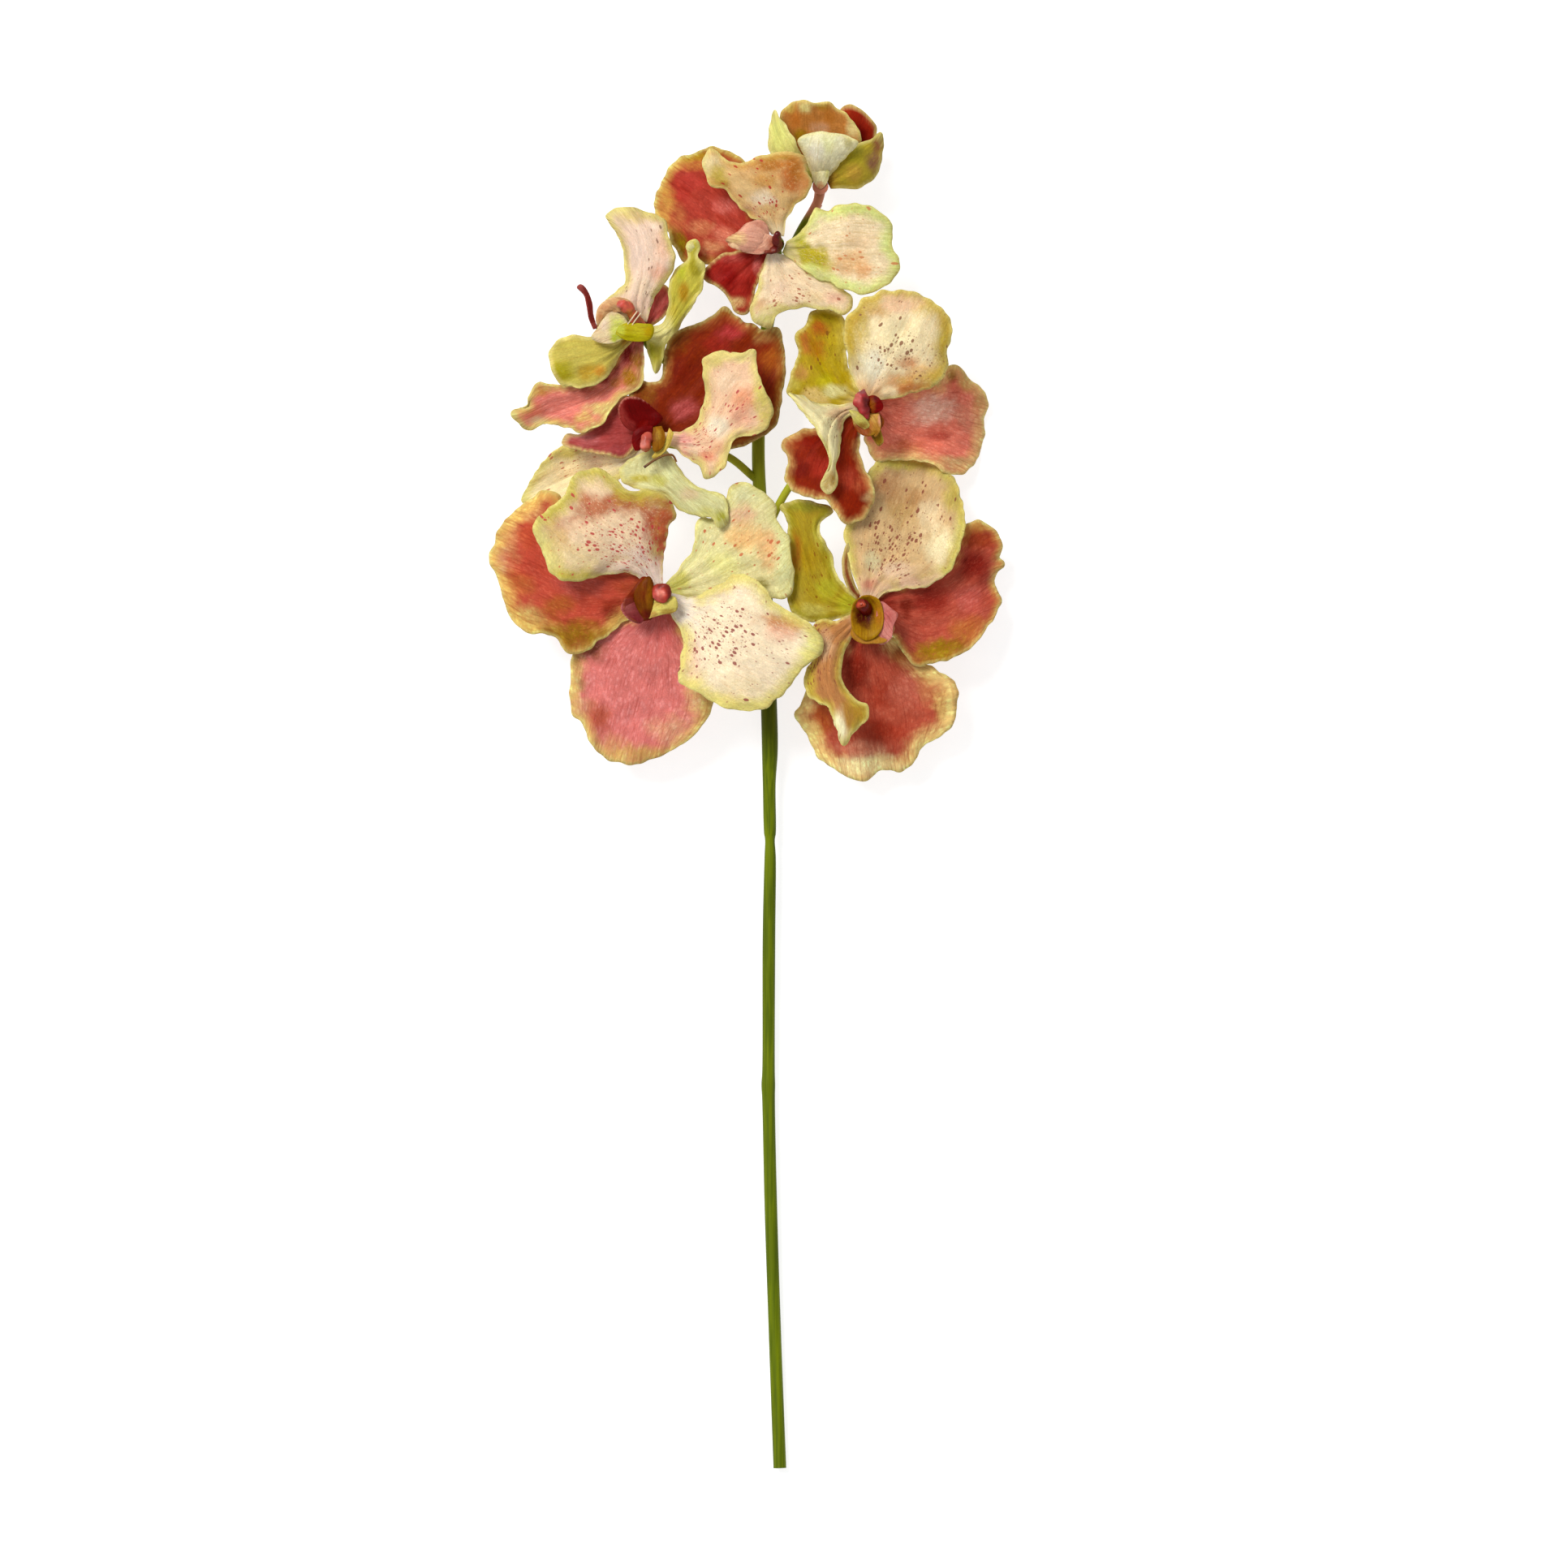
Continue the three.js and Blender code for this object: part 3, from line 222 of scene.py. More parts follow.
# Petals, sepals and lips, each named as the node that it replaces. A blade's heights are those of three
# places on its rim. Towards is where it points from the heart, its level is how high it sits on the knob,
# with 0 lowest, and its wave is how far its edge goes up and down.
BLADES = {
    "bloom_a_upper_petal": Blade([48, 51, 50], 3, [
        [-46, 392], [-43, 407], [-40, 413], [-44, 420], [-52, 423], [-60, 422], [-66, 428], [-75, 432],
        [-84, 429], [-88, 421], [-94, 416], [-102, 407], [-98, 396], [-94, 387], [-88, 383.5], [-80, 384],
        [-70, 386.5], [-60, 387],
    ], [-50, 386], 3, 1.2),
    "bloom_a_left_sepal": Blade([33, 27, 33], 3, [
        [-58.4, 388.4], [-75, 393.4], [-86, 406], [-91, 421], [-97, 423], [-106, 417], [-115, 409],
        [-119, 400], [-121, 393], [-117, 384], [-115, 376], [-111, 367], [-104, 361], [-96, 361],
        [-91, 358], [-88, 353], [-80, 353], [-73, 358], [-65, 364], [-57, 370],
    ], [-59, 377], 1, 1),
    "bloom_a_lower_sepal": Blade([26, 22, 30], 4, [
        [-56, 370], [-70, 366], [-84, 354], [-86, 342], [-85, 326], [-80, 321], [-77, 313], [-70, 307],
        [-60, 304.5], [-50, 307], [-38, 313], [-30, 320], [-25, 328], [-25, 335], [-30, 350], [-36, 361],
        [-42, 370],
    ], [-52, 366], 0, 1),
    "bloom_a_lower_petal": Blade([50, 48, 50], 2, [
        [-41, 367], [-37, 358], [-39, 347], [-39, 340], [-34, 337], [-28, 334], [-22, 330], [-12, 327.5],
        [-3, 328.5], [4, 333], [10, 340], [16, 347], [22, 352], [23.5, 356], [21, 362], [15, 367], [8, 371],
        [2, 375], [-5, 384], [-14, 386.5], [-22, 382], [-33, 377],
    ], [-40, 374], 3, 1),
    "bloom_a_dorsal_sepal": Blade([38, 39, 39], 1, [
        [-37, 391], [-33.5, 397], [-32, 404], [-31.5, 410], [-24, 412], [-20, 418], [-16, 425], [-10, 426],
        [-2, 422], [2, 418], [3, 411], [8.5, 402], [10, 393], [10.5, 386], [8, 377], [-3, 376], [-15, 376],
        [-28, 375],
    ], [-40, 382], 1, 0.8),
    "bloom_a_lip": Blade([47, 50, 46], -1, [
        [-51, 384], [-54.5, 385.5], [-59, 380], [-63, 374], [-61, 368], [-56, 366], [-50.5, 367.5],
    ], [-57, 377], LIP_LEVEL),
    "bloom_b_upper_petal": Blade([36, 15, 35], 3, [
        [38, 381], [35, 390], [33, 398], [32, 404], [34, 411], [38, 421], [43, 431], [46, 436], [52, 438],
        [60, 438], [68, 436], [74, 433], [80, 428], [83, 420], [84.5, 408], [82, 397], [79, 389],
        [74, 384.5], [66, 381], [57, 380], [50, 378.5],
    ], [43, 378], 3, 1),
    "bloom_b_right_sepal": Blade([26, 16, 31], 2, [
        [52, 381], [62, 384], [78, 392], [85, 408], [91, 410], [97, 406], [101, 399], [99, 394], [101, 391],
        [97.5, 384], [100, 376], [99, 371], [94, 364], [88, 356], [80, 351], [70, 348], [64, 346.8],
        [58.4, 351], [53, 359],
    ], [48, 374], 1, 1),
    "bloom_b_bottom_sepal": Blade([23, 18, 25], 4, [
        [50.6, 361.6], [57.8, 355.6], [63, 350.4], [68.4, 347.4], [74, 344.6], [80.5, 339.5], [81, 330],
        [79, 321], [71, 315], [66, 312], [62, 305], [56, 301.5], [48, 302], [42, 297.5], [35, 298.5],
        [26, 304], [20, 309], [16, 318], [11, 325], [14, 332], [18, 341], [27, 355], [35, 364],
    ], [44, 360], 0, 1.2),
    "bloom_b_lower_petal": Blade([40, 46, 45], 2, [
        [29, 367], [20, 366], [17, 360], [19, 352], [15.5, 343], [16, 335], [20, 331.5], [25, 329],
        [29, 320], [32, 313], [35, 317], [40, 321], [42.5, 326], [42, 330.5], [37, 332], [33, 338],
        [31, 347], [33, 356],
    ], [35, 363], 2, 0.6),
    "bloom_b_dorsal_sepal": Blade([32, 33, 34], 1, [
        [33, 368], [26, 366.5], [17, 366.5], [9.5, 371], [8, 385], [8, 398], [7.5, 410], [5, 416],
        [13, 419], [20, 418], [28, 413.5], [22, 409], [22.5, 403.5], [25.5, 398], [28, 392], [29, 386],
        [34, 380],
    ], [37, 374], 1, 0.5),
    "bloom_b_lip": Blade([47, 49, 47], -1, [
        [37, 365.5], [35, 361], [38, 357.5], [45, 356.5], [51, 358], [54, 364], [50, 368],
    ], [44, 362], LIP_LEVEL),
    "bloom_c_upper_petal": Blade([46, 48, 44], 3, [
        [38, 467], [35.5, 472], [34, 479], [32.5, 486], [32.5, 495], [36, 500], [40, 505], [47, 508],
        [56, 509], [64, 508], [70, 504.5], [76, 499.5], [79, 491], [77, 484], [77, 476], [74, 470],
        [66, 466], [57, 463.5], [50, 462],
    ], [44, 465], 3, 1),
    "bloom_c_dorsal_sepal": Blade([33, 28, 31], 1, [
        [30, 457], [21, 457.5], [14, 461], [7.5, 465], [9, 472], [12, 481], [11.5, 490], [15, 493],
        [19, 500.5], [26, 501], [32, 497], [33, 488], [34, 478], [37, 469],
    ], [37, 463], 1, 0.8),
    "bloom_c_lower_petal": Blade([52, 55, 51], 1, [
        [28, 459.5], [20, 461], [8, 464.5], [13, 458], [18, 452], [21, 447], [24, 441], [26, 434],
        [22, 427], [22, 423], [26, 421], [30, 427], [29, 432], [31, 440], [31, 448], [33, 454],
    ], [35, 457], 3, 0.4),
    "bloom_c_bottom_sepal": Blade([44, 46, 41], 1, [
        [34, 455.5], [28, 453], [20, 450], [12, 448], [5, 442.5], [8, 436], [6.5, 428], [9, 423], [16, 420],
        [24, 418], [28, 414], [32, 408.5], [37, 408.5], [42, 412], [45.5, 420], [44, 427], [40, 435],
        [39, 445],
    ], [38, 454], 1, 0.8),
    "bloom_c_right_sepal": Blade([18, 0.4, 24], 3, [
        [50, 465], [62, 467], [72, 470], [77, 477], [81, 477], [86, 472], [93, 466], [95, 459], [92.5, 454],
        [93, 447], [91, 439], [85, 431.4], [77.5, 429.6], [70, 434], [62, 436], [53, 436], [46.5, 435.5],
        [43, 440], [40.5, 447],
    ], [48, 459], 0, 0),
    "bloom_c_lip": Blade([47, 49, 47], -1, [
        [36, 455.5], [36, 452], [38, 448], [42, 446], [47, 448], [49.5, 452.5], [47, 456],
    ], [42, 450], LIP_LEVEL),
    "bloom_d_upper_sepal": Blade([29, 27, 29], 2, [
        [-52, 453], [-61, 463], [-57, 469.6], [-47.6, 470.4], [-45.5, 478], [-44, 487], [-39, 492],
        [-30, 495], [-24, 499], [-19, 502.5], [-14, 498], [-4, 493], [4, 493], [6, 488], [6.5, 475],
        [5.5, 463], [4, 453], [-1, 447], [-8, 443], [-18, 440], [-32, 440], [-43, 442],
    ], [-43, 449], 1, 0.6),
    "bloom_d_front_petal": Blade([46, 48, 48], 2, [
        [-36, 449], [-31, 454], [-28, 463], [-28.5, 472], [-28.5, 479], [-24, 482.5], [-14, 482], [-6, 483],
        [-5, 474], [-2, 466], [1.5, 459], [0, 452], [-5, 447], [-12, 446], [-17, 441], [-19, 434],
        [-22, 430], [-28, 428], [-30, 433], [-36, 437], [-41, 441],
    ], [-43, 445], 3, 1),
    "bloom_d_left_sepal": Blade([29, 22, 29], 2, [
        [-57, 459], [-60.6, 464], [-66.6, 461], [-73.6, 452.6], [-81, 447.6], [-88, 447], [-90, 443],
        [-82, 440.5], [-72, 438], [-62, 437],
    ], [-60, 448], 2, 0.4),
    "bloom_d_lower_petal": Blade([14, 0.4, 14], 2, [
        [-62, 440], [-75, 443], [-88, 443], [-95, 438.5], [-100, 433], [-104, 426], [-107, 418], [-92, 415],
        [-74, 423], [-60, 431],
    ], [-58, 438], 0, 0),
    "bloom_d_dorsal_sepal": Blade([42, 43, 41], 1, [
        [-42, 437], [-38, 431], [-32, 425], [-26, 422.5], [-20, 421], [-17.5, 414], [-18, 408], [-22, 407],
        [-26, 411], [-33, 412], [-40, 415], [-45, 420.5], [-55, 422.5], [-64, 427], [-63, 434], [-57, 438],
    ], [-47, 438], 2, 0.6),
    "bloom_d_lip": Blade([43, 46, 43], -2, [
        [-47.4, 451.6], [-45.8, 454], [-51, 459], [-58, 463.2], [-63.4, 462], [-65, 456], [-62, 450],
        [-58, 447.6],
    ], [-57, 454], LIP_LEVEL),
    "bloom_e_upper_petal": Blade([39, 42, 42], 2, [
        [-66, 497], [-73, 498], [-72, 503], [-67, 508], [-62, 513], [-63, 520], [-63, 527], [-67, 535],
        [-71, 541], [-67, 544], [-61, 545], [-53, 543], [-45, 539], [-43.5, 532], [-40.5, 523],
        [-43.2, 515], [-49.6, 506],
    ], [-55, 500], 3, 0.8),
    "bloom_e_dorsal_sepal": Blade([37, 42, 36], 1, [
        [-46, 495], [-44, 501], [-43.5, 508], [-41, 517], [-35, 523], [-36, 529], [-32, 531], [-29.5, 528],
        [-31, 524.5], [-28, 520], [-29, 511], [-33, 502], [-38, 495], [-43, 488], [-46, 480], [-49, 473],
        [-52, 480],
    ], [-47, 489], 2, 0.3),
    "bloom_e_left_petal": Blade([41, 40, 41], 3, [
        [-67, 486.5], [-77, 489], [-84, 489.5], [-89, 489], [-95, 482], [-94, 475], [-90, 469],
        [-82, 466.5], [-75, 468], [-69, 473], [-65, 481],
    ], [-64, 488], 3, 0.8),
    "bloom_e_lower_sepal": Blade([33, 22, 36], 1, [
        [-66, 481], [-78, 471], [-92, 469], [-100, 469], [-104, 464], [-105, 459], [-111, 456.5],
        [-108, 451], [-103, 448.5], [-98, 451.5], [-90, 450.5], [-80, 448], [-72, 452], [-67, 460],
        [-62, 463.5], [-55.5, 468], [-54.5, 476],
    ], [-58, 484], 1, 0.5),
    "bloom_e_right_sepal": Blade([31, 31, 31], 1, [
        [-54, 500], [-55, 506], [-50, 513], [-44, 511], [-42, 504], [-45, 498],
    ], [-50, 499], 0, 0),
    "bloom_e_lip": Blade([44, 45, 44], 1, [
        [-62, 499], [-65, 503], [-70, 504], [-74, 499], [-74, 492], [-70, 489], [-63, 490],
    ], [-66, 497], LIP_LEVEL),
    "bloom_f_upper_petal": Blade([48, 50, 49], 1, [
        [-3, 538], [-9, 541], [-14, 546], [-19, 552], [-25, 554], [-29, 563], [-25, 570], [-20, 566],
        [-12, 563.5], [-3, 567.5], [4, 568], [14, 567], [17, 558], [18, 553], [13, 547], [8, 541],
    ], [4, 535], 3, 0.8),
    "bloom_f_left_sepal": Blade([33, 25, 30], 3, [
        [-5, 536.6], [-6, 545], [-8, 554], [-9, 563], [-16, 568.5], [-25, 571], [-34, 568], [-40, 566],
        [-45, 559], [-49, 551], [-49.5, 544], [-44, 534], [-41, 528], [-37, 521.5], [-28, 520.5],
        [-16, 521], [-8, 525],
    ], [-9, 532], 0, 0.8),
    "bloom_f_lower_sepal": Blade([36, 34, 35], 1, [
        [-8, 527], [-15, 526], [-22, 523.5], [-29, 516], [-24, 511], [-19, 507], [-15, 500], [-9.5, 499],
        [-6, 508], [-3, 518],
    ], [-6, 524], 1, 0.3),
    "bloom_f_lower_petal": Blade([39, 38, 39], 1, [
        [-3, 518], [-5, 510], [-8, 501], [-7, 496], [0, 493], [4, 499], [12, 501], [19, 501.5], [28, 500],
        [33, 499], [36, 505], [30, 511.4], [22, 515.4], [15, 520], [8, 524],
    ], [1, 522], 2, 0.5),
    "bloom_f_dorsal_sepal": Blade([43, 40, 43], 1, [
        [12, 533], [18, 541], [20, 545], [25, 543.5], [31, 546], [40, 546], [47, 543.5], [52, 538],
        [54, 532], [53, 528.5], [56, 522], [53, 513], [48, 509], [40, 507], [34, 509], [26, 512], [17, 516],
        [11, 521],
    ], [8, 527], 3, 1),
    "bloom_f_lip": Blade([46, 47, 46], 3, [
        [-0.5, 536], [-3, 539], [-9, 538], [-14, 534], [-19, 530.5], [-15, 528], [-10, 525.5], [-3, 525],
    ], [-6, 531], LIP_LEVEL),
    "bud_left_sepal": Blade([42, 37, 33], 3, [
        [14, 567], [11.5, 573], [8, 578.5], [4.6, 583.4], [2.3, 587], [-0.5, 577], [0.4, 569], [9, 561],
    ], [14, 559], 2, 0.3),
    "bud_front_sepal": Blade([46, 48, 46], 4, [
        [18.4, 559], [15.6, 566], [12.4, 574.2], [19.5, 577], [28, 576.6], [34, 575.4], [38.4, 572.6],
        [33.4, 567], [28, 560.8],
    ], [22.6, 562], 3.4, 0.3),
    "bud_right_sepal": Blade([40, 36, 31], 3, [
        [28, 563], [33.5, 569.5], [39.5, 573], [44, 574.6], [48.2, 577.2], [48.8, 567], [46.8, 560],
        [41.5, 554.6], [35.5, 553], [30, 553.2],
    ], [31, 558], 2, 0.3),
    "bud_back_petal": Blade([33, 38, 34], -3, [
        [14, 564], [8, 573], [4.5, 583.4], [8, 589], [14, 591], [20.6, 590], [25.4, 590.8], [28.8, 588],
        [32.4, 585.8], [36.6, 581], [39.2, 577], [39.6, 573.4], [34, 568.6], [28, 564],
    ], [19, 562], 0, 0.5),
    "bud_side_petal": Blade([24, 28, 24], -2, [
        [32, 567], [30, 576], [29.5, 586], [34.6, 590], [38.4, 588.4], [43, 584.2], [46.4, 579],
        [46.2, 575], [43, 569], [38, 562],
    ], [29, 560], 1, 0.3),
}

# The lobes of each lip and the base of the bud. A foot is the height of both ends of the rim.
LOBES = {
    "bloom_a_leaf": Blade([50, 51.5, 49], 1.2, [
        [-50.4, 368], [-50.3, 376], [-50.4, 384], [-52, 385.6], [-55, 383], [-58.3, 378], [-57, 372],
        [-54, 367],
    ], foot=46.5),
    "bloom_a_left_lobe": Blade([48, 49, 47], 1, [
        [-56.5, 376.6], [-61.5, 375.8], [-64, 372.4], [-62.5, 369], [-59.5, 366.3], [-55.5, 365.3],
        [-54, 367],
    ], foot=46),
    "bloom_a_crescent": Blade([48.5, 49.5, 49], 1, [
        [-52.4, 367.3], [-46, 369.2], [-40.3, 370.6], [-39.6, 373.5], [-40.6, 376.8], [-45, 376.4],
        [-50.4, 376], [-52, 371],
    ], foot=46.5),
    "bloom_b_throat": Blade([49, 49.5, 49], -4.5, [
        [40, 377.2], [36.3, 374], [35.3, 368], [36.5, 361.5], [41, 358.2], [46, 359.4], [48.7, 364],
        [49, 370], [47, 375.6], [43.8, 377.4],
    ], foot=49),
    "bloom_b_flange": Blade([47, 48.5, 48], 0.8, [
        [46, 366], [46, 357.4], [48.5, 356.2], [52.6, 358.8], [53.4, 364], [55.4, 369], [52.5, 371.8],
        [48.5, 374.8], [46.5, 374],
    ], foot=46.5),
    "bloom_c_left_lobe": Blade([49.5, 50, 49], 0.7, [
        [43.6, 450.4], [41.8, 453.1], [38.4, 456.2], [34.4, 457.2], [36, 453.4], [38.4, 450.6],
        [41.4, 448.8],
    ], foot=47.5),
    "bloom_c_right_lobe": Blade([48, 48.4, 48.4], 0.5, [
        [41.8, 453.6], [43, 449.8], [45.6, 445.6], [47.4, 447.6], [48, 452], [46.8, 456.3], [43.8, 456.6],
    ], foot=47),
    "bloom_c_dark_lobe": Blade([48.5, 50, 49], 1, [
        [42, 457], [44.6, 455.8], [48.9, 457.8], [48.2, 461.4], [45.5, 463.4], [42.6, 463], [41.6, 460],
    ], foot=47),
    "bloom_c_tail": Blade([45.5, 44, 45.5], 0.6, [
        [42.5, 450.5], [44, 446], [47.2, 441.8], [49.2, 443.6], [48.4, 447], [47.5, 450.5],
    ], foot=46.5),
    "bloom_d_dark_lobe": Blade([46.5, 46, 46], 0.6, [
        [-50.2, 450.4], [-54.5, 450.4], [-58.4, 447.9], [-59.2, 444], [-57.8, 439.8], [-55.6, 440.3],
        [-55.4, 443], [-53, 444.6], [-50.6, 445.6],
    ], foot=45.5),
    "bloom_d_crescent": Blade([46.5, 47, 46.5], 0.8, [
        [-50.6, 449.6], [-50.8, 444], [-49.6, 439.3], [-46.2, 440.8], [-44.9, 446], [-46.4, 450.4],
    ], foot=45),
    "bloom_d_pale_band": Blade([45.5, 45, 45.5], 0.4, [
        [-43.2, 449.6], [-45.4, 443.2], [-50.6, 437], [-49.2, 436.2], [-43.4, 441.4], [-41.2, 447.2],
    ], foot=44.5),
    "bloom_e_hood": Blade([46, 46.5, 46], 1, [
        [-62, 499.8], [-59.3, 498.8], [-58.4, 502], [-61, 505], [-66, 505.8], [-71, 504.4], [-74.4, 500],
        [-74.9, 495.8], [-73.6, 493.4], [-71.3, 496.8], [-67.5, 499.6],
    ], foot=45),
    "bloom_e_pouch": Blade([46, 46.5, 46], 1, [
        [-62.6, 497.6], [-66.6, 499.4], [-71, 497], [-74.4, 492.4], [-77, 488.2], [-72, 486.2],
        [-65.6, 486.6], [-61, 489.4], [-60.4, 494],
    ], foot=45.5),
    "bloom_e_olive_lobe": Blade([47, 46, 47], 0.8, [
        [-66.5, 490.2], [-62, 487.4], [-56, 487], [-51.6, 487.6], [-49.8, 490.8], [-50.6, 494],
        [-56, 494.6], [-61, 494.8], [-65, 493.4],
    ], foot=47),
    "bloom_e_tongue": Blade([46.5, 47, 46.5], 0, [
        [-74.2, 492.4], [-75.6, 497.5], [-76.5, 503.5], [-78.6, 509], [-81.6, 511.6], [-83.2, 510.2],
        [-80.2, 507.2], [-78.8, 502.5], [-78, 497], [-76, 492],
    ], foot=46),
    "bloom_f_apron": Blade([46.5, 45.5, 47], 0.8, [
        [2, 532], [1.6, 527.4], [-3, 524.6], [-10, 525.2], [-18, 528.8], [-12, 532.6], [-5, 534.6],
    ], foot=46.5),
    "bud_base": Blade([34.8, 34.6, 34.8], 0.8, [
        [22.4, 563], [18.8, 562], [18.6, 557.6], [20, 554.4], [21.6, 552.8], [23.4, 553.6], [25.2, 556.4],
        [26, 560.4],
    ], foot=36.6),
}

# The curled-back edges of two petals
CURLS = {
    "bloom_b_upper_petal": Blade([37, 37.5, 37.5], 0.8, [
        [38.2, 375], [34.6, 378.6], [32.4, 384], [31.4, 390], [31.8, 396], [34, 400], [35, 394],
        [35.2, 388], [36.8, 382.4], [39.4, 378],
    ], foot=38.6),
    "bloom_e_dorsal_sepal": Blade([38.9, 39.3, 38.9], 0.5, [
        [-33.2, 525.4], [-35.6, 526.4], [-36, 528.4], [-34.2, 529.8], [-31.4, 529.7], [-30, 528],
        [-31, 526],
    ], foot=38.4),
}

# Thin threads across two hearts, as points [x, y, z, radius]
THREADS = {
    "bloom_d": [
        [
            [-54, 432.6, 45.6, 0.6], [-49.5, 435.7, 46, 0.5], [-45, 437.8, 46.4, 0.5],
            [-41.8, 437.8, 46.6, 0.5], [-40, 435, 46, 0.4],
        ],
    ],
    "bloom_e": [
        [[-61, 494.3, 47.2, 0.3], [-59, 497, 48.6, 0.3], [-57, 499.8, 47.5, 0.3]],
        [[-59.2, 493.8, 47.2, 0.3], [-57.4, 496.4, 48.4, 0.3], [-55.4, 499, 47, 0.3]],
    ],
}

# Each column: points from its foot to its tip, with the radius at each.
COLUMNS = {
    "bloom_a": [
        [-47, 378, 43.4, 3.4], [-46.6, 378.2, 47, 3.6], [-46.3, 378.3, 50, 4.2], [-46.2, 378.3, 52, 3.9],
        [-46.2, 378.3, 53, 2.4], [-46.2, 378.3, 53.1, 0.5],
    ],
    "bloom_b": [
        [42, 371.4, 43.4, 3.2], [41, 372, 46, 3], [40, 373, 49, 2.6], [39.6, 373.5, 51, 2.3],
        [39.5, 373.7, 52, 1.5], [39.5, 373.7, 52.2, 0.4],
    ],
    "bloom_c": [
        [42.4, 453.6, 48.6, 0.5], [41.7, 456, 48.8, 1.8], [40.4, 458.6, 49, 2.9], [39.5, 461, 49, 3.3],
        [39.8, 463.4, 49, 2.7], [40.5, 465.2, 48.8, 1.5], [40.8, 465.9, 48.6, 0.4],
    ],
    "bloom_d": [
        [-52, 447, 39.4, 2.4], [-52.3, 446.8, 43, 2.5], [-52.7, 445.6, 45.6, 2.5],
        [-53.2, 443.4, 46.6, 2.7], [-53.5, 441.3, 46.6, 2.4], [-53.6, 439.8, 46.2, 1.5],
        [-53.6, 439.1, 46, 0.4],
    ],
    "bloom_e": [
        [-56, 492.6, 39.4, 3.2], [-57.4, 495.6, 42.4, 2.8], [-59.6, 499.4, 46, 2.2],
        [-61.6, 501.8, 47.6, 2.4], [-64, 502.6, 47.8, 2.4], [-66, 501.8, 47.4, 0.6],
    ],
    "bloom_f": [
        [3, 529, 43.4, 3.2], [2.8, 527.2, 45.4, 2], [1, 525.6, 47, 1.2], [-2, 525, 47.2, 0.5],
    ],
}
HOOK = [[3, 528, 45, 1.8], [3.2, 530, 48, 1.9], [3.4, 532.6, 50, 1.7], [3.4, 534, 50.4, 0.8]]
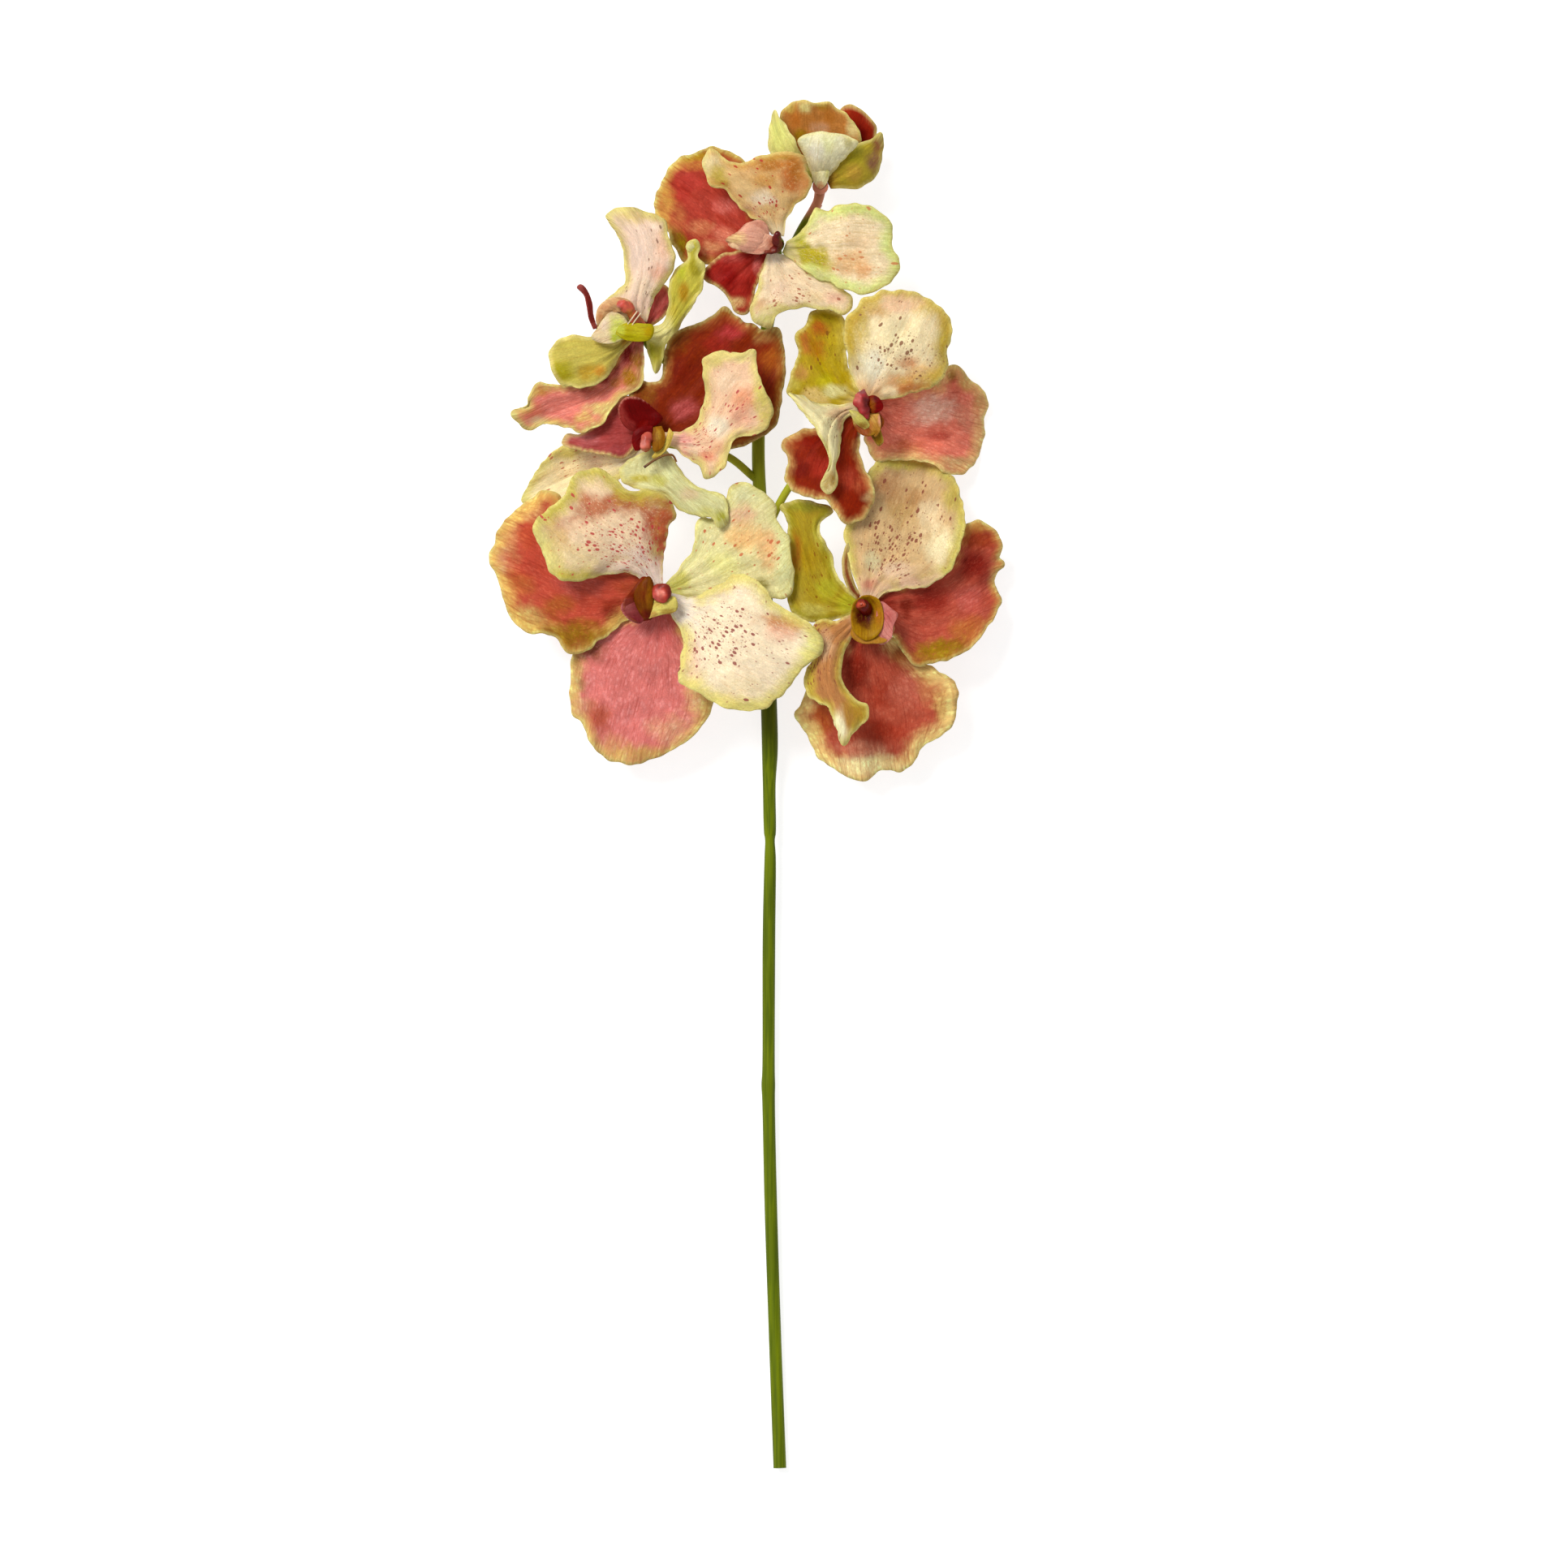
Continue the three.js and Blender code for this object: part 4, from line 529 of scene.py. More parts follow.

# Colours as eight-bit screen values: the blade's own, the one round the heart with its reach, and the one
# along the rim with its width. Washes are soft patches over the blade's own colour, and edges the same over
# the rim's: x, y, reach across, reach up, colour, strength. A few washes are painted shade and a few painted
# light, as said where they stand. Dots are patches of freckles in the spot colour: x, y, reach across, reach
# up, density.
PAINT = {
    # Bloom A's upper petal: its red-brown top and right side are partly its own colour and partly painted
    # shade, and the pale band along its lower edge is partly a painted highlight.
    "bloom_a_upper_petal": Paint((236, 206, 166), (244, 224, 208, 24), [
        (-46, 407, 9, 16, (172, 82, 48), 0.95), (-60, 418, 12, 6, (176, 94, 62), 0.95),
        (-76, 416, 12, 6, (178, 98, 62), 0.9), (-92, 407, 8, 6, (196, 124, 92), 0.6),
        (-97, 396, 7, 10, (232, 220, 150), 0.9), (-85, 394, 12, 6, (226, 204, 150), 0.8),
        (-78, 386, 12, 3.5, (206, 176, 112), 0.8), (-66, 404, 9, 7, (232, 206, 170), 0.7),
        (-92, 402, 6, 7, (214, 182, 122), 0.85),
    ], rim=(184, 170, 62, 8), edges=[
        (-44, 405, 8, 15, (176, 84, 50), 1), (-60, 390, 16, 6, (232, 206, 180), 1),
        (-97, 397, 6, 12, (226, 214, 130), 0.9),
    ], spot=(196, 70, 70), dots=[(-58, 399, 16, 12, 0.95), (-74, 400, 10, 9, 0.6), (-80, 412, 22, 8, 0.4)]),
    "bloom_a_left_sepal": Paint((192, 76, 56), (150, 70, 30, 16), [
        (-114, 404, 8, 12, (220, 150, 96), 0.9), (-104, 404, 6, 7, (200, 80, 50), 0.9),
        (-82, 384, 10, 7, (204, 98, 86), 0.8), (-118, 392, 5, 9, (214, 150, 120), 0.8),
        (-108, 382, 7, 6, (190, 100, 50), 0.8), (-105, 367, 8, 7, (196, 160, 90), 0.9),
        (-84, 361, 14, 6, (150, 104, 26), 0.95), (-68, 370, 6, 6, (130, 40, 12), 0.9),
        (-92, 373, 8, 5, (172, 92, 38), 0.8), (-104, 413, 7, 4, (228, 166, 104), 0.8),
    ], rim=(228, 184, 96, 7), edges=[
        (-84, 360, 18, 6, (160, 116, 30), 0.95), (-66, 385, 10, 8, (200, 96, 84), 1),
    ]),
    "bloom_a_lower_sepal": Paint((224, 124, 116), (210, 98, 92, 22), [
        # The dark brown wash at (-76, 355) is a painted shadow.
        (-76, 355, 6, 6, (130, 72, 40), 0.85), (-84, 343, 5, 12, (196, 160, 100), 0.85),
        (-81, 328, 6, 6, (216, 160, 120), 0.8), (-74, 325, 6, 7, (196, 90, 60), 0.8),
        (-68, 311, 9, 6, (214, 150, 100), 0.85), (-50, 308, 16, 5, (206, 152, 94), 0.8),
        (-42, 320, 10, 7, (226, 164, 124), 0.8), (-27, 330, 4, 8, (202, 172, 92), 0.9),
        (-31, 336, 6, 12, (238, 208, 132), 0.7), (-58, 309, 14, 3, (214, 170, 96), 0.7),
    ], rim=(230, 192, 112, 5), edges=[
        (-40, 348, 10, 10, (214, 110, 104), 0.9), (-82, 352, 5, 8, (150, 110, 50), 0.8),
        (-52, 309, 12, 5, (202, 148, 84), 0.8),
    ]),
    "bloom_a_lower_petal": Paint((246, 226, 190), (240, 228, 210, 20), [
        (8, 366, 13, 4.5, (198, 124, 68), 0.9), (4, 361, 8, 4, (226, 170, 140), 0.7),
        (19, 353, 5, 11, (244, 240, 152), 0.95), (-12, 337, 16, 6, (234, 214, 170), 0.8),
        (-14, 330, 12, 4, (208, 198, 108), 0.85), (-35, 352, 5, 8, (232, 196, 174), 0.8),
        (-33, 342, 6, 5, (222, 204, 132), 0.8), (-20, 380, 10, 4, (238, 214, 190), 0.7),
        (-34, 346, 5, 8, (240, 200, 170), 0.7), (-20, 332, 10, 4, (236, 210, 150), 0.7),
    ], rim=(218, 204, 112, 7), spot=(156, 80, 74),
    dots=[(-18, 361, 14, 12, 0.95), (-30, 356, 8, 10, 0.7), (2, 354, 10, 8, 0.3)]),
    "bloom_a_dorsal_sepal": Paint((232, 222, 160), (196, 190, 94, 12), [
        (-10, 422, 12, 5, (224, 220, 164), 0.9), (6, 393, 4, 16, (226, 226, 164), 0.9),
        (-20, 391, 8, 7, (230, 224, 142), 0.85), (-1, 398, 5, 9, (238, 178, 118), 0.85),
        (-12, 412, 7, 5, (222, 170, 138), 0.8), (-38, 385, 4, 5, (196, 188, 86), 0.9),
        # The dark olive wash at (-3, 382) is a painted shadow of a fold.
        (-3, 382, 4, 3, (136, 124, 40), 0.8), (-12, 401, 7, 5, (240, 196, 122), 0.85),
        (-10, 403, 8, 7, (242, 192, 128), 0.8),
    ], rim=(226, 222, 152, 5), spot=(206, 110, 70), dots=[(0, 398, 9, 9, 0.5), (-12, 411, 8, 5, 0.3)]),
    "bloom_b_upper_petal": Paint((208, 174, 124), (224, 186, 156, 14), [
        (50, 425, 7, 6, (178, 128, 84), 0.9), (62, 418, 10, 6, (178, 132, 82), 0.85),
        (60, 435, 12, 3, (196, 184, 72), 0.9), (58, 412, 7, 6, (188, 152, 94), 0.8),
        (43, 404, 5, 9, (206, 170, 120), 0.8), (74, 399, 8, 9, (246, 230, 182), 0.9),
        (82, 404, 3, 9, (222, 206, 140), 0.9), (80, 420, 5, 7, (190, 170, 82), 0.9),
        (55, 388, 8, 4, (222, 190, 160), 0.7), (44, 392, 4, 4, (206, 196, 150), 0.8),
        (43, 382, 4, 3, (190, 110, 90), 0.8), (60, 383, 5, 3, (226, 180, 150), 0.8),
        (69, 412, 6, 7, (238, 216, 172), 0.7),
    ], rim=(196, 182, 84, 6), edges=[
        (41, 396, 5, 14, (210, 160, 120), 0.9), (80, 420, 6, 8, (190, 168, 80), 0.9),
        (66, 382, 14, 5, (226, 186, 156), 0.9),
    ], spot=(142, 80, 62), dots=[(54, 399, 13, 14, 0.95), (64, 412, 12, 8, 0.4)]),
    "bloom_b_right_sepal": Paint((190, 84, 64), (150, 46, 34, 14), [
        (70, 376, 9, 7, (152, 42, 32), 0.9), (86, 376, 8, 6, (200, 94, 82), 0.85),
        (88, 390, 8, 7, (132, 26, 12), 0.9), (91, 402, 8, 5, (162, 62, 32), 0.9),
        (92, 408, 9, 3, (190, 130, 62), 0.9), (99, 385, 4, 10, (200, 130, 90), 0.9),
        (85, 362, 8, 6, (190, 110, 52), 0.85), (74, 353, 12, 5, (164, 124, 24), 0.95),
        (59, 372, 3, 5, (120, 32, 16), 0.9), (78, 354, 9, 4.5, (158, 116, 14), 0.95),
    ], rim=(206, 146, 76, 4), edges=[
        (70, 388, 14, 5, (160, 50, 36), 0.9), (72, 352, 12, 6, (176, 134, 34), 0.9),
    ]),
    # The very pale wash at (43, 304) and the edge at (42, 303) are painted light, brightened past the sepal's
    # colour to lift the shade at its lower edge.
    "bloom_b_bottom_sepal": Paint((188, 84, 62), (132, 32, 16, 16), [
        (37, 346, 6, 10, (132, 32, 16), 0.85), (48, 335, 7, 7, (170, 60, 40), 0.8),
        (60, 336, 8, 8, (206, 108, 86), 0.85), (48, 319, 9, 6, (170, 50, 30), 0.85),
        (69, 338, 5, 7, (206, 130, 82), 0.8), (78, 331, 6, 10, (228, 192, 112), 0.95),
        (68, 345, 5, 4, (190, 130, 52), 0.8), (43, 304, 13, 6, (255, 244, 178), 1),
        (40, 311, 10, 4, (224, 140, 108), 0.85), (22, 325, 6, 7, (190, 92, 42), 0.85),
        (17, 316, 5, 7, (206, 170, 84), 0.9), (55, 352, 4, 6, (150, 62, 24), 0.8),
        (74, 332, 3.5, 6, (224, 176, 102), 0.9),
    ], rim=(246, 212, 132, 8), edges=[
        (60, 352, 10, 6, (160, 90, 40), 0.9), (30, 350, 8, 8, (150, 50, 26), 0.9),
        (42, 303, 15, 6, (252, 220, 152), 1),
    ]),
    "bloom_b_lower_petal": Paint((186, 128, 76), (200, 150, 110, 10), [
        (23, 356, 5, 6, (214, 180, 140), 0.8), (17, 341, 3.5, 9, (190, 170, 62), 0.9),
        (26, 340, 5, 5, (184, 124, 74), 0.8), (38, 326, 7, 7, (166, 128, 42), 0.95),
        (29.5, 321, 3, 7, (250, 244, 200), 1),
    ], rim=(190, 168, 64, 4), edges=[(30, 320, 4, 8, (250, 244, 196), 0.95)], spot=(150, 84, 60),
    dots=[(22, 352, 7, 13, 0.9)]),
    "bloom_b_dorsal_sepal": Paint((170, 146, 36), (188, 180, 58, 10), [
        (11, 396, 3.5, 10, (182, 112, 34), 0.9), (15, 417, 10, 3.5, (150, 148, 42), 0.95),
        (18, 394, 4, 8, (168, 136, 22), 0.85), (23, 403, 4, 6, (194, 176, 78), 0.8),
        (25, 380, 5, 5, (176, 170, 42), 0.8), (12, 378, 4, 4, (170, 148, 50), 0.8),
        (33, 375, 5, 4, (190, 184, 42), 0.85), (18, 371, 8, 3, (200, 188, 90), 0.85),
    ], rim=(168, 160, 46, 4), spot=(140, 90, 20), dots=[(18, 392, 8, 14, 0.25)]),
    "bloom_c_upper_petal": Paint((238, 218, 172), (222, 176, 124, 12), [
        (37, 498, 5, 5, (176, 130, 44), 0.9), (34, 489, 3.5, 9, (160, 132, 26), 0.95),
        (46, 500, 6, 4, (196, 150, 92), 0.8), (57, 503, 9, 4, (240, 196, 158), 0.9),
        (56, 489, 9, 6, (240, 224, 174), 0.85), (45, 476, 6, 7, (238, 230, 200), 0.9),
        (76, 487, 3.5, 9, (190, 170, 46), 0.9), (77, 495, 4, 4, (200, 160, 92), 0.8),
        (66, 474, 7, 5, (222, 176, 114), 0.8), (56, 470, 8, 4, (222, 160, 102), 0.85),
        (60, 478, 5, 3, (202, 124, 74), 0.7), (66, 467, 7, 2.5, (190, 110, 54), 0.9),
        (40, 492, 4, 7, (206, 180, 96), 0.8),
    ], rim=(188, 158, 58, 9), edges=[
        (56, 503, 10, 4, (240, 196, 156), 0.8), (40, 470, 8, 10, (236, 226, 186), 0.9),
        (62, 466, 10, 4, (196, 116, 60), 0.9),
    ], spot=(144, 96, 70), dots=[(55, 482, 12, 9, 0.95), (66, 476, 10, 8, 0.4)]),
    "bloom_c_dorsal_sepal": Paint((176, 150, 24), (206, 178, 110, 9), [
        (15, 487, 3.5, 8, (180, 100, 40), 0.9), (21, 493, 4, 4, (170, 82, 26), 0.9),
        (27, 498, 6, 2.5, (170, 148, 24), 0.9), (23, 478, 4, 6, (176, 150, 10), 0.9),
        (24, 470, 4, 3.5, (190, 176, 22), 0.85), (31, 487, 3, 8, (190, 168, 58), 0.85),
        (13, 474, 3.5, 4, (190, 138, 70), 0.85), (10, 468, 4, 3, (196, 178, 72), 0.85),
        (28, 465.5, 6, 3, (220, 212, 148), 0.9), (21, 461, 5, 2.5, (206, 176, 108), 0.8),
        (21, 485, 4, 6, (172, 106, 8), 0.85), (18, 464, 5, 3.5, (222, 190, 116), 0.9),
    ], rim=(182, 160, 56, 3), spot=(130, 80, 20), dots=[(24, 484, 8, 12, 0.3)]),
    "bloom_c_lower_petal": Paint((228, 216, 164), (214, 176, 136, 8), [
        (29, 456, 5, 3, (210, 170, 130), 0.8), (31, 450, 2, 4, (190, 122, 82), 0.8),
        (25, 426, 5, 5, (190, 160, 92), 0.95), (28, 427, 2, 4, (152, 112, 44), 0.85),
    ], rim=(206, 194, 120, 1.5), spot=(140, 70, 44), dots=[(29, 452, 4, 5, 0.5)]),
    "bloom_c_bottom_sepal": Paint((144, 40, 20), (150, 60, 30, 10), [
        (17, 446, 7, 6, (140, 32, 16), 0.9), (10, 441, 4, 4, (160, 62, 32), 0.8),
        (22, 433, 7, 6, (174, 52, 38), 0.9), (12, 432, 6, 4.5, (122, 30, 0), 0.98),
        (8, 439, 3, 4, (190, 112, 60), 0.8), (8, 426, 3, 4, (178, 132, 42), 0.85),
        (12, 421, 6, 3, (200, 112, 62), 0.85), (36, 443, 3.5, 6, (134, 48, 16), 0.85),
        (34, 428, 5, 5, (170, 62, 42), 0.8), (40, 425, 4, 4, (182, 84, 52), 0.8),
        (44, 430, 2.5, 6, (190, 130, 80), 0.85), (44, 420, 4, 2.5, (222, 186, 128), 0.8),
    ], rim=(206, 146, 84, 4), edges=[(34, 452, 6, 6, (140, 50, 20), 0.9)]),
    # Painted light: this sepal's core and its wash at (71, 458) are brightened to make up for the shade it
    # lies in on its low slope.
    "bloom_c_right_sepal": Paint((240, 128, 104), (176, 62, 50, 12), [
        (71, 458, 10, 7, (255, 196, 170), 0.98), (73, 446.5, 6, 2.4, (170, 60, 48), 0.8),
        (59, 442, 7, 3.5, (210, 106, 68), 0.8), (85, 455, 5, 6, (226, 140, 110), 0.85),
        (91, 462, 4, 6, (206, 150, 92), 0.9), (91, 446, 4, 7, (246, 174, 122), 0.95),
        (82, 435, 8, 3, (210, 176, 116), 0.85), (85, 470, 4, 4, (200, 150, 72), 0.9),
        (78, 474, 4, 4, (150, 120, 26), 0.95),
    ], rim=(236, 182, 118, 6), edges=[(60, 467, 12, 5, (206, 100, 80), 0.9)]),
    "bloom_d_upper_sepal": Paint((136, 44, 18), (130, 50, 20, 8), [
        (-42, 487, 8, 6, (120, 60, 8), 0.9), (-38, 474, 7, 6, (124, 34, 8), 0.85),
        (-22, 486, 6, 5, (162, 42, 30), 0.85), (-17, 491, 6, 3.5, (190, 60, 60), 0.9),
        (-28, 496, 5, 3, (130, 42, 12), 0.8), (-37, 458, 6, 5, (190, 84, 80), 0.85),
        (-52, 464, 4, 5, (132, 72, 14), 0.9), (1, 479, 5, 6, (178, 92, 32), 0.9),
        (-2, 490, 5, 4, (180, 130, 70), 0.9), (6, 464, 3, 7, (170, 112, 24), 0.9),
        (3, 452, 4, 5, (190, 110, 34), 0.9), (-10, 444, 6, 4, (180, 82, 32), 0.85),
    ], rim=(166, 104, 46, 5), edges=[(-18, 494, 10, 4, (190, 96, 60), 0.9)]),
    "bloom_d_front_petal": Paint((238, 196, 158), (232, 180, 150, 8), [
        (-24, 479, 5, 4, (214, 196, 112), 0.9), (-13, 481, 7, 3, (226, 214, 150), 0.9),
        (-28, 473, 2.5, 6, (206, 180, 112), 0.85), (-19, 470, 7, 5, (238, 206, 170), 0.85),
        (-11, 462, 6, 6, (228, 152, 112), 0.85), (-12, 454, 5, 5, (226, 160, 130), 0.8),
        (-3, 462, 4, 9, (220, 204, 104), 0.95), (-1, 454, 3, 5, (220, 196, 102), 0.9),
        (-22, 450, 5, 5, (240, 230, 200), 0.85), (-36, 445, 4, 4, (230, 160, 150), 0.85),
        (-33, 439, 4, 4, (232, 200, 170), 0.8), (-26, 437, 4, 3, (226, 132, 102), 0.85),
        (-19, 434, 5, 3.5, (226, 172, 124), 0.8), (-28, 428, 2.5, 2, (110, 60, 30), 0.8),
        (-22, 440, 5, 3.5, (222, 166, 124), 0.85),
    ], rim=(220, 200, 120, 5), edges=[
        (-38, 440, 5, 8, (226, 150, 140), 0.9), (0, 462, 4, 12, (220, 200, 110), 0.9),
    ], spot=(190, 76, 76), dots=[(-29, 446, 7, 9, 0.95), (-14, 458, 8, 7, 0.5)]),
    "bloom_d_left_sepal": Paint((164, 66, 62), (130, 40, 30, 8), [
        (-80, 445, 6, 3.5, (190, 100, 98), 0.85), (-88, 446, 4, 3, (200, 140, 128), 0.9),
        (-65, 440, 6, 3, (166, 70, 70), 0.8), (-62, 461, 6, 2.5, (190, 110, 90), 0.8),
    ], rim=(190, 110, 92, 2)),
    "bloom_d_lower_petal": Paint((244, 228, 176), (226, 206, 170, 14), [
        (-86, 439, 6, 3, (204, 186, 92), 0.9), (-75, 436, 6, 4, (234, 202, 166), 0.8),
        (-60, 436, 8, 4, (232, 220, 190), 0.7), (-88, 431, 8, 5, (250, 228, 174), 0.85),
    ], rim=(208, 196, 104, 5), spot=(200, 120, 90), dots=[(-80, 434, 14, 6, 0.4)]),
    "bloom_d_dorsal_sepal": Paint((216, 212, 152), (206, 190, 120, 8), [
        # The darker olive and brown washes along its lower edge, under the margin of bloom A's upper petal,
        # are painted shadow.
        (-60, 433, 4, 2.5, (226, 222, 160), 0.9), (-55, 428, 6, 2, (190, 176, 62), 0.9),
        (-60, 424, 3, 2, (170, 130, 24), 0.9), (-48, 427, 4, 2.5, (196, 190, 82), 0.8),
        (-42, 430, 4, 2.5, (226, 230, 170), 0.85), (-50, 420.5, 6, 2, (152, 132, 16), 0.85),
        (-34, 421, 5, 3, (222, 190, 150), 0.75), (-28, 412, 5, 3, (206, 200, 112), 0.8),
        (-20, 411, 4, 3, (176, 170, 34), 0.9),
    ], rim=(214, 210, 130, 2)),
    "bloom_e_upper_petal": Paint((240, 210, 184), (226, 200, 150, 8), [
        (-60, 541, 8, 3.5, (214, 190, 120), 0.9), (-50, 542, 5, 3, (206, 180, 112), 0.9),
        (-58, 526, 6, 8, (232, 206, 186), 0.7), (-45, 529, 4.5, 8, (236, 190, 158), 0.9),
        (-47, 517, 4, 5, (236, 178, 148), 0.8), (-55, 510, 5, 5, (236, 214, 180), 0.7),
        (-63, 512, 4, 6, (226, 206, 150), 0.8), (-69, 502, 5, 5, (222, 180, 120), 0.8),
    ], rim=(206, 188, 110, 4), spot=(148, 112, 92), dots=[(-51, 507, 4, 6, 0.8), (-60, 512, 8, 8, 0.3)]),
    "bloom_e_dorsal_sepal": Paint((190, 178, 66), (220, 206, 110, 6), [
        (-38, 517, 3, 5, (186, 186, 48), 0.9), (-43, 517, 3, 4, (200, 202, 106), 0.85),
        (-32, 519, 3, 4, (142, 130, 10), 0.85), (-28, 522, 3, 3.5, (230, 220, 132), 0.95),
        (-37, 508, 2.5, 5, (172, 126, 24), 0.95), (-32, 506, 3, 3, (190, 170, 72), 0.8),
        (-43, 501, 4, 4, (202, 182, 66), 0.8), (-53, 483, 3.5, 5, (166, 160, 14), 0.95),
        (-45, 484, 3, 4, (194, 182, 66), 0.8), (-47, 492.5, 7, 6, (236, 226, 150), 0.98),
    ], rim=(206, 196, 100, 1.6)),
    "bloom_e_left_petal": Paint((196, 180, 84), (190, 140, 50, 10), [
        (-90, 474, 6, 5, (170, 158, 16), 0.9), (-78, 474, 5, 4, (190, 148, 42), 0.85),
        (-73, 474, 3, 3, (196, 130, 42), 0.85), (-88, 487, 7, 3, (196, 180, 80), 0.8),
    ], rim=(214, 196, 110, 2.5)),
    "bloom_e_lower_sepal": Paint((230, 130, 114), (130, 30, 20, 8), [
        (-61.5, 482, 3.4, 7, (126, 12, 8), 0.98), (-67, 477, 3, 4, (120, 14, 12), 0.95),
        (-72, 471, 3.5, 3, (122, 16, 12), 0.9), (-78, 467, 4, 2, (130, 30, 20), 0.7),
        (-57, 479, 2.5, 5, (152, 104, 16), 0.9), (-59.5, 471.5, 4.5, 5, (164, 112, 2), 1),
        (-66, 469, 3, 3, (200, 120, 62), 0.8), (-72, 458, 7, 3, (226, 200, 120), 0.9),
        (-80, 454, 5, 2.5, (214, 180, 98), 0.8), (-103, 457, 6, 4, (220, 118, 88), 0.8),
        (-100, 466, 5, 2.5, (214, 150, 72), 0.85), (-100, 453, 5, 2, (226, 196, 150), 0.8),
        (-65.6, 482, 1.2, 5, (196, 104, 50), 0.85),
    ], rim=(216, 184, 104, 4)),
    "bloom_e_right_sepal": Paint((188, 86, 78), (170, 70, 56, 6), [
        (-52, 501, 3, 5, (206, 90, 90), 0.7),
    ], rim=(206, 110, 96, 1)),
    "bloom_f_upper_petal": Paint((222, 184, 124), (234, 214, 170, 12), [
        (-24, 564, 5, 5, (230, 210, 160), 0.85), (-22, 558, 4, 6, (190, 166, 64), 0.85),
        (-20, 553, 3, 3, (170, 130, 26), 0.9), (0, 563, 14, 4, (184, 114, 40), 0.9),
        (4, 566.5, 10, 1.8, (166, 126, 14), 0.9), (10, 557, 7, 8, (188, 100, 42), 0.9),
        (14, 560, 2.5, 5, (206, 150, 90), 0.8), (-2, 556, 7, 3.5, (200, 146, 78), 0.9),
        (-10, 560, 5, 3, (214, 170, 112), 0.8), (-11, 552, 5, 4, (226, 190, 132), 0.8),
        (-10, 543, 5, 3, (230, 180, 142), 0.8), (-3, 549, 6, 3.5, (244, 226, 196), 0.85),
        (12, 561, 4, 5, (176, 108, 38), 0.8),
    ], rim=(200, 150, 76, 4), edges=[
        (-26, 564, 6, 6, (230, 214, 150), 0.9), (-16, 545, 5, 10, (214, 170, 110), 0.9),
        (13, 558, 6, 8, (206, 140, 80), 0.8),
    ], spot=(190, 62, 52), dots=[(0, 545, 8, 5, 0.95)]),
    "bloom_f_left_sepal": Paint((176, 60, 44), (206, 110, 76, 8), [
        (-34, 555, 6, 5, (190, 60, 50), 0.8), (-29, 548, 6, 5, (180, 64, 50), 0.8),
        (-18, 545, 5, 4, (220, 110, 96), 0.85), (-38, 551, 4, 4, (176, 52, 40), 0.8),
        (-44, 547, 3, 7, (206, 150, 70), 0.95), (-32, 567, 8, 2.8, (170, 130, 26), 0.95),
        (-32, 563, 7, 2.5, (190, 120, 52), 0.8), (-39, 540, 4, 5, (190, 110, 60), 0.85),
        (-30, 536, 6, 4, (206, 122, 80), 0.8), (-25, 528, 6, 3.5, (222, 150, 102), 0.85),
        (-20, 533, 5, 4, (226, 130, 100), 0.8), (-38.5, 530, 3, 5, (142, 112, 10), 0.95),
        (-13, 568, 4, 1.5, (196, 190, 72), 0.9),
    ], rim=(204, 160, 74, 4.5), edges=[
        (-30, 568, 14, 4, (176, 136, 36), 0.95), (-40, 529, 6, 7, (146, 118, 14), 0.95),
        (-22, 528, 8, 4, (226, 160, 110), 0.9),
    ]),
    "bloom_f_lower_sepal": Paint((160, 40, 32), (180, 70, 60, 6), [
        (-18, 515, 5, 4, (142, 22, 16), 0.9), (-10, 518, 4, 4, (170, 50, 40), 0.8),
        (-5, 520, 2, 4, (220, 110, 100), 0.9), (-15, 523, 4, 2, (190, 80, 70), 0.8),
        (-14, 504, 4, 2.5, (216, 170, 110), 0.95), (-7, 505, 3, 3, (200, 90, 60), 0.8),
    ], rim=(196, 100, 80, 1)),
    "bloom_f_lower_petal": Paint((242, 216, 176), (236, 220, 200, 8), [
        (5, 510, 5, 4, (232, 200, 170), 0.7), (-4, 503, 4, 3, (214, 170, 122), 0.9),
        (0, 497, 6, 2, (206, 196, 112), 0.9), (3, 501, 6, 2.5, (226, 210, 132), 0.85),
        (20, 506, 5, 3.5, (226, 200, 150), 0.8), (28, 506, 5, 3, (230, 180, 150), 0.85),
    ], rim=(210, 196, 112, 3), spot=(182, 112, 84), dots=[(12, 508, 7, 5, 0.8), (3, 505, 6, 4, 0.6)]),
    "bloom_f_dorsal_sepal": Paint((246, 222, 178), (190, 188, 60, 8), [
        (13, 534, 5, 8, (194, 192, 72), 0.9), (16, 524, 7, 6, (178, 166, 14), 0.95),
        (23, 520, 6, 4, (190, 182, 48), 0.85), (35, 521, 9, 6, (232, 182, 124), 0.85),
        (41, 518, 4, 4, (230, 170, 112), 0.8), (38, 530, 8, 4, (232, 196, 150), 0.7),
        (51, 530, 4, 7, (224, 224, 158), 0.95), (36, 544, 9, 2.5, (208, 210, 112), 0.9),
        (36, 510, 8, 3, (228, 224, 158), 0.9), (25, 513, 5, 3, (226, 210, 160), 0.8),
        (20, 524, 5, 4, (186, 168, 30), 0.95),
    ], rim=(212, 220, 126, 6), edges=[(12, 532, 6, 10, (190, 190, 64), 0.9)], spot=(214, 140, 90),
    dots=[(38, 520, 12, 7, 0.5)]),
    "bloom_a_lip": Paint((128, 44, 24), (150, 40, 24, 5), [
        (-47, 371, 4, 3.5, (220, 206, 110), 0.95), (-60, 372, 4, 4, (134, 62, 58), 0.8),
        (-55, 379, 3.5, 5, (136, 66, 26), 0.8),
    ], rim=(170, 92, 70, 1.2)),
    "bloom_b_lip": Paint((176, 122, 40), (96, 24, 12, 6), [
        (52, 364, 3, 5, (222, 140, 124), 0.95), (42, 368, 3, 3, (90, 20, 10), 0.9),
    ], rim=(206, 150, 70, 1.2)),
    "bloom_c_lip": Paint((140, 70, 28), (130, 26, 24, 6), [
        (46, 447, 3, 3, (156, 112, 30), 0.9), (37, 454, 2, 3, (200, 180, 90), 0.8),
    ], rim=(176, 112, 60, 1)),
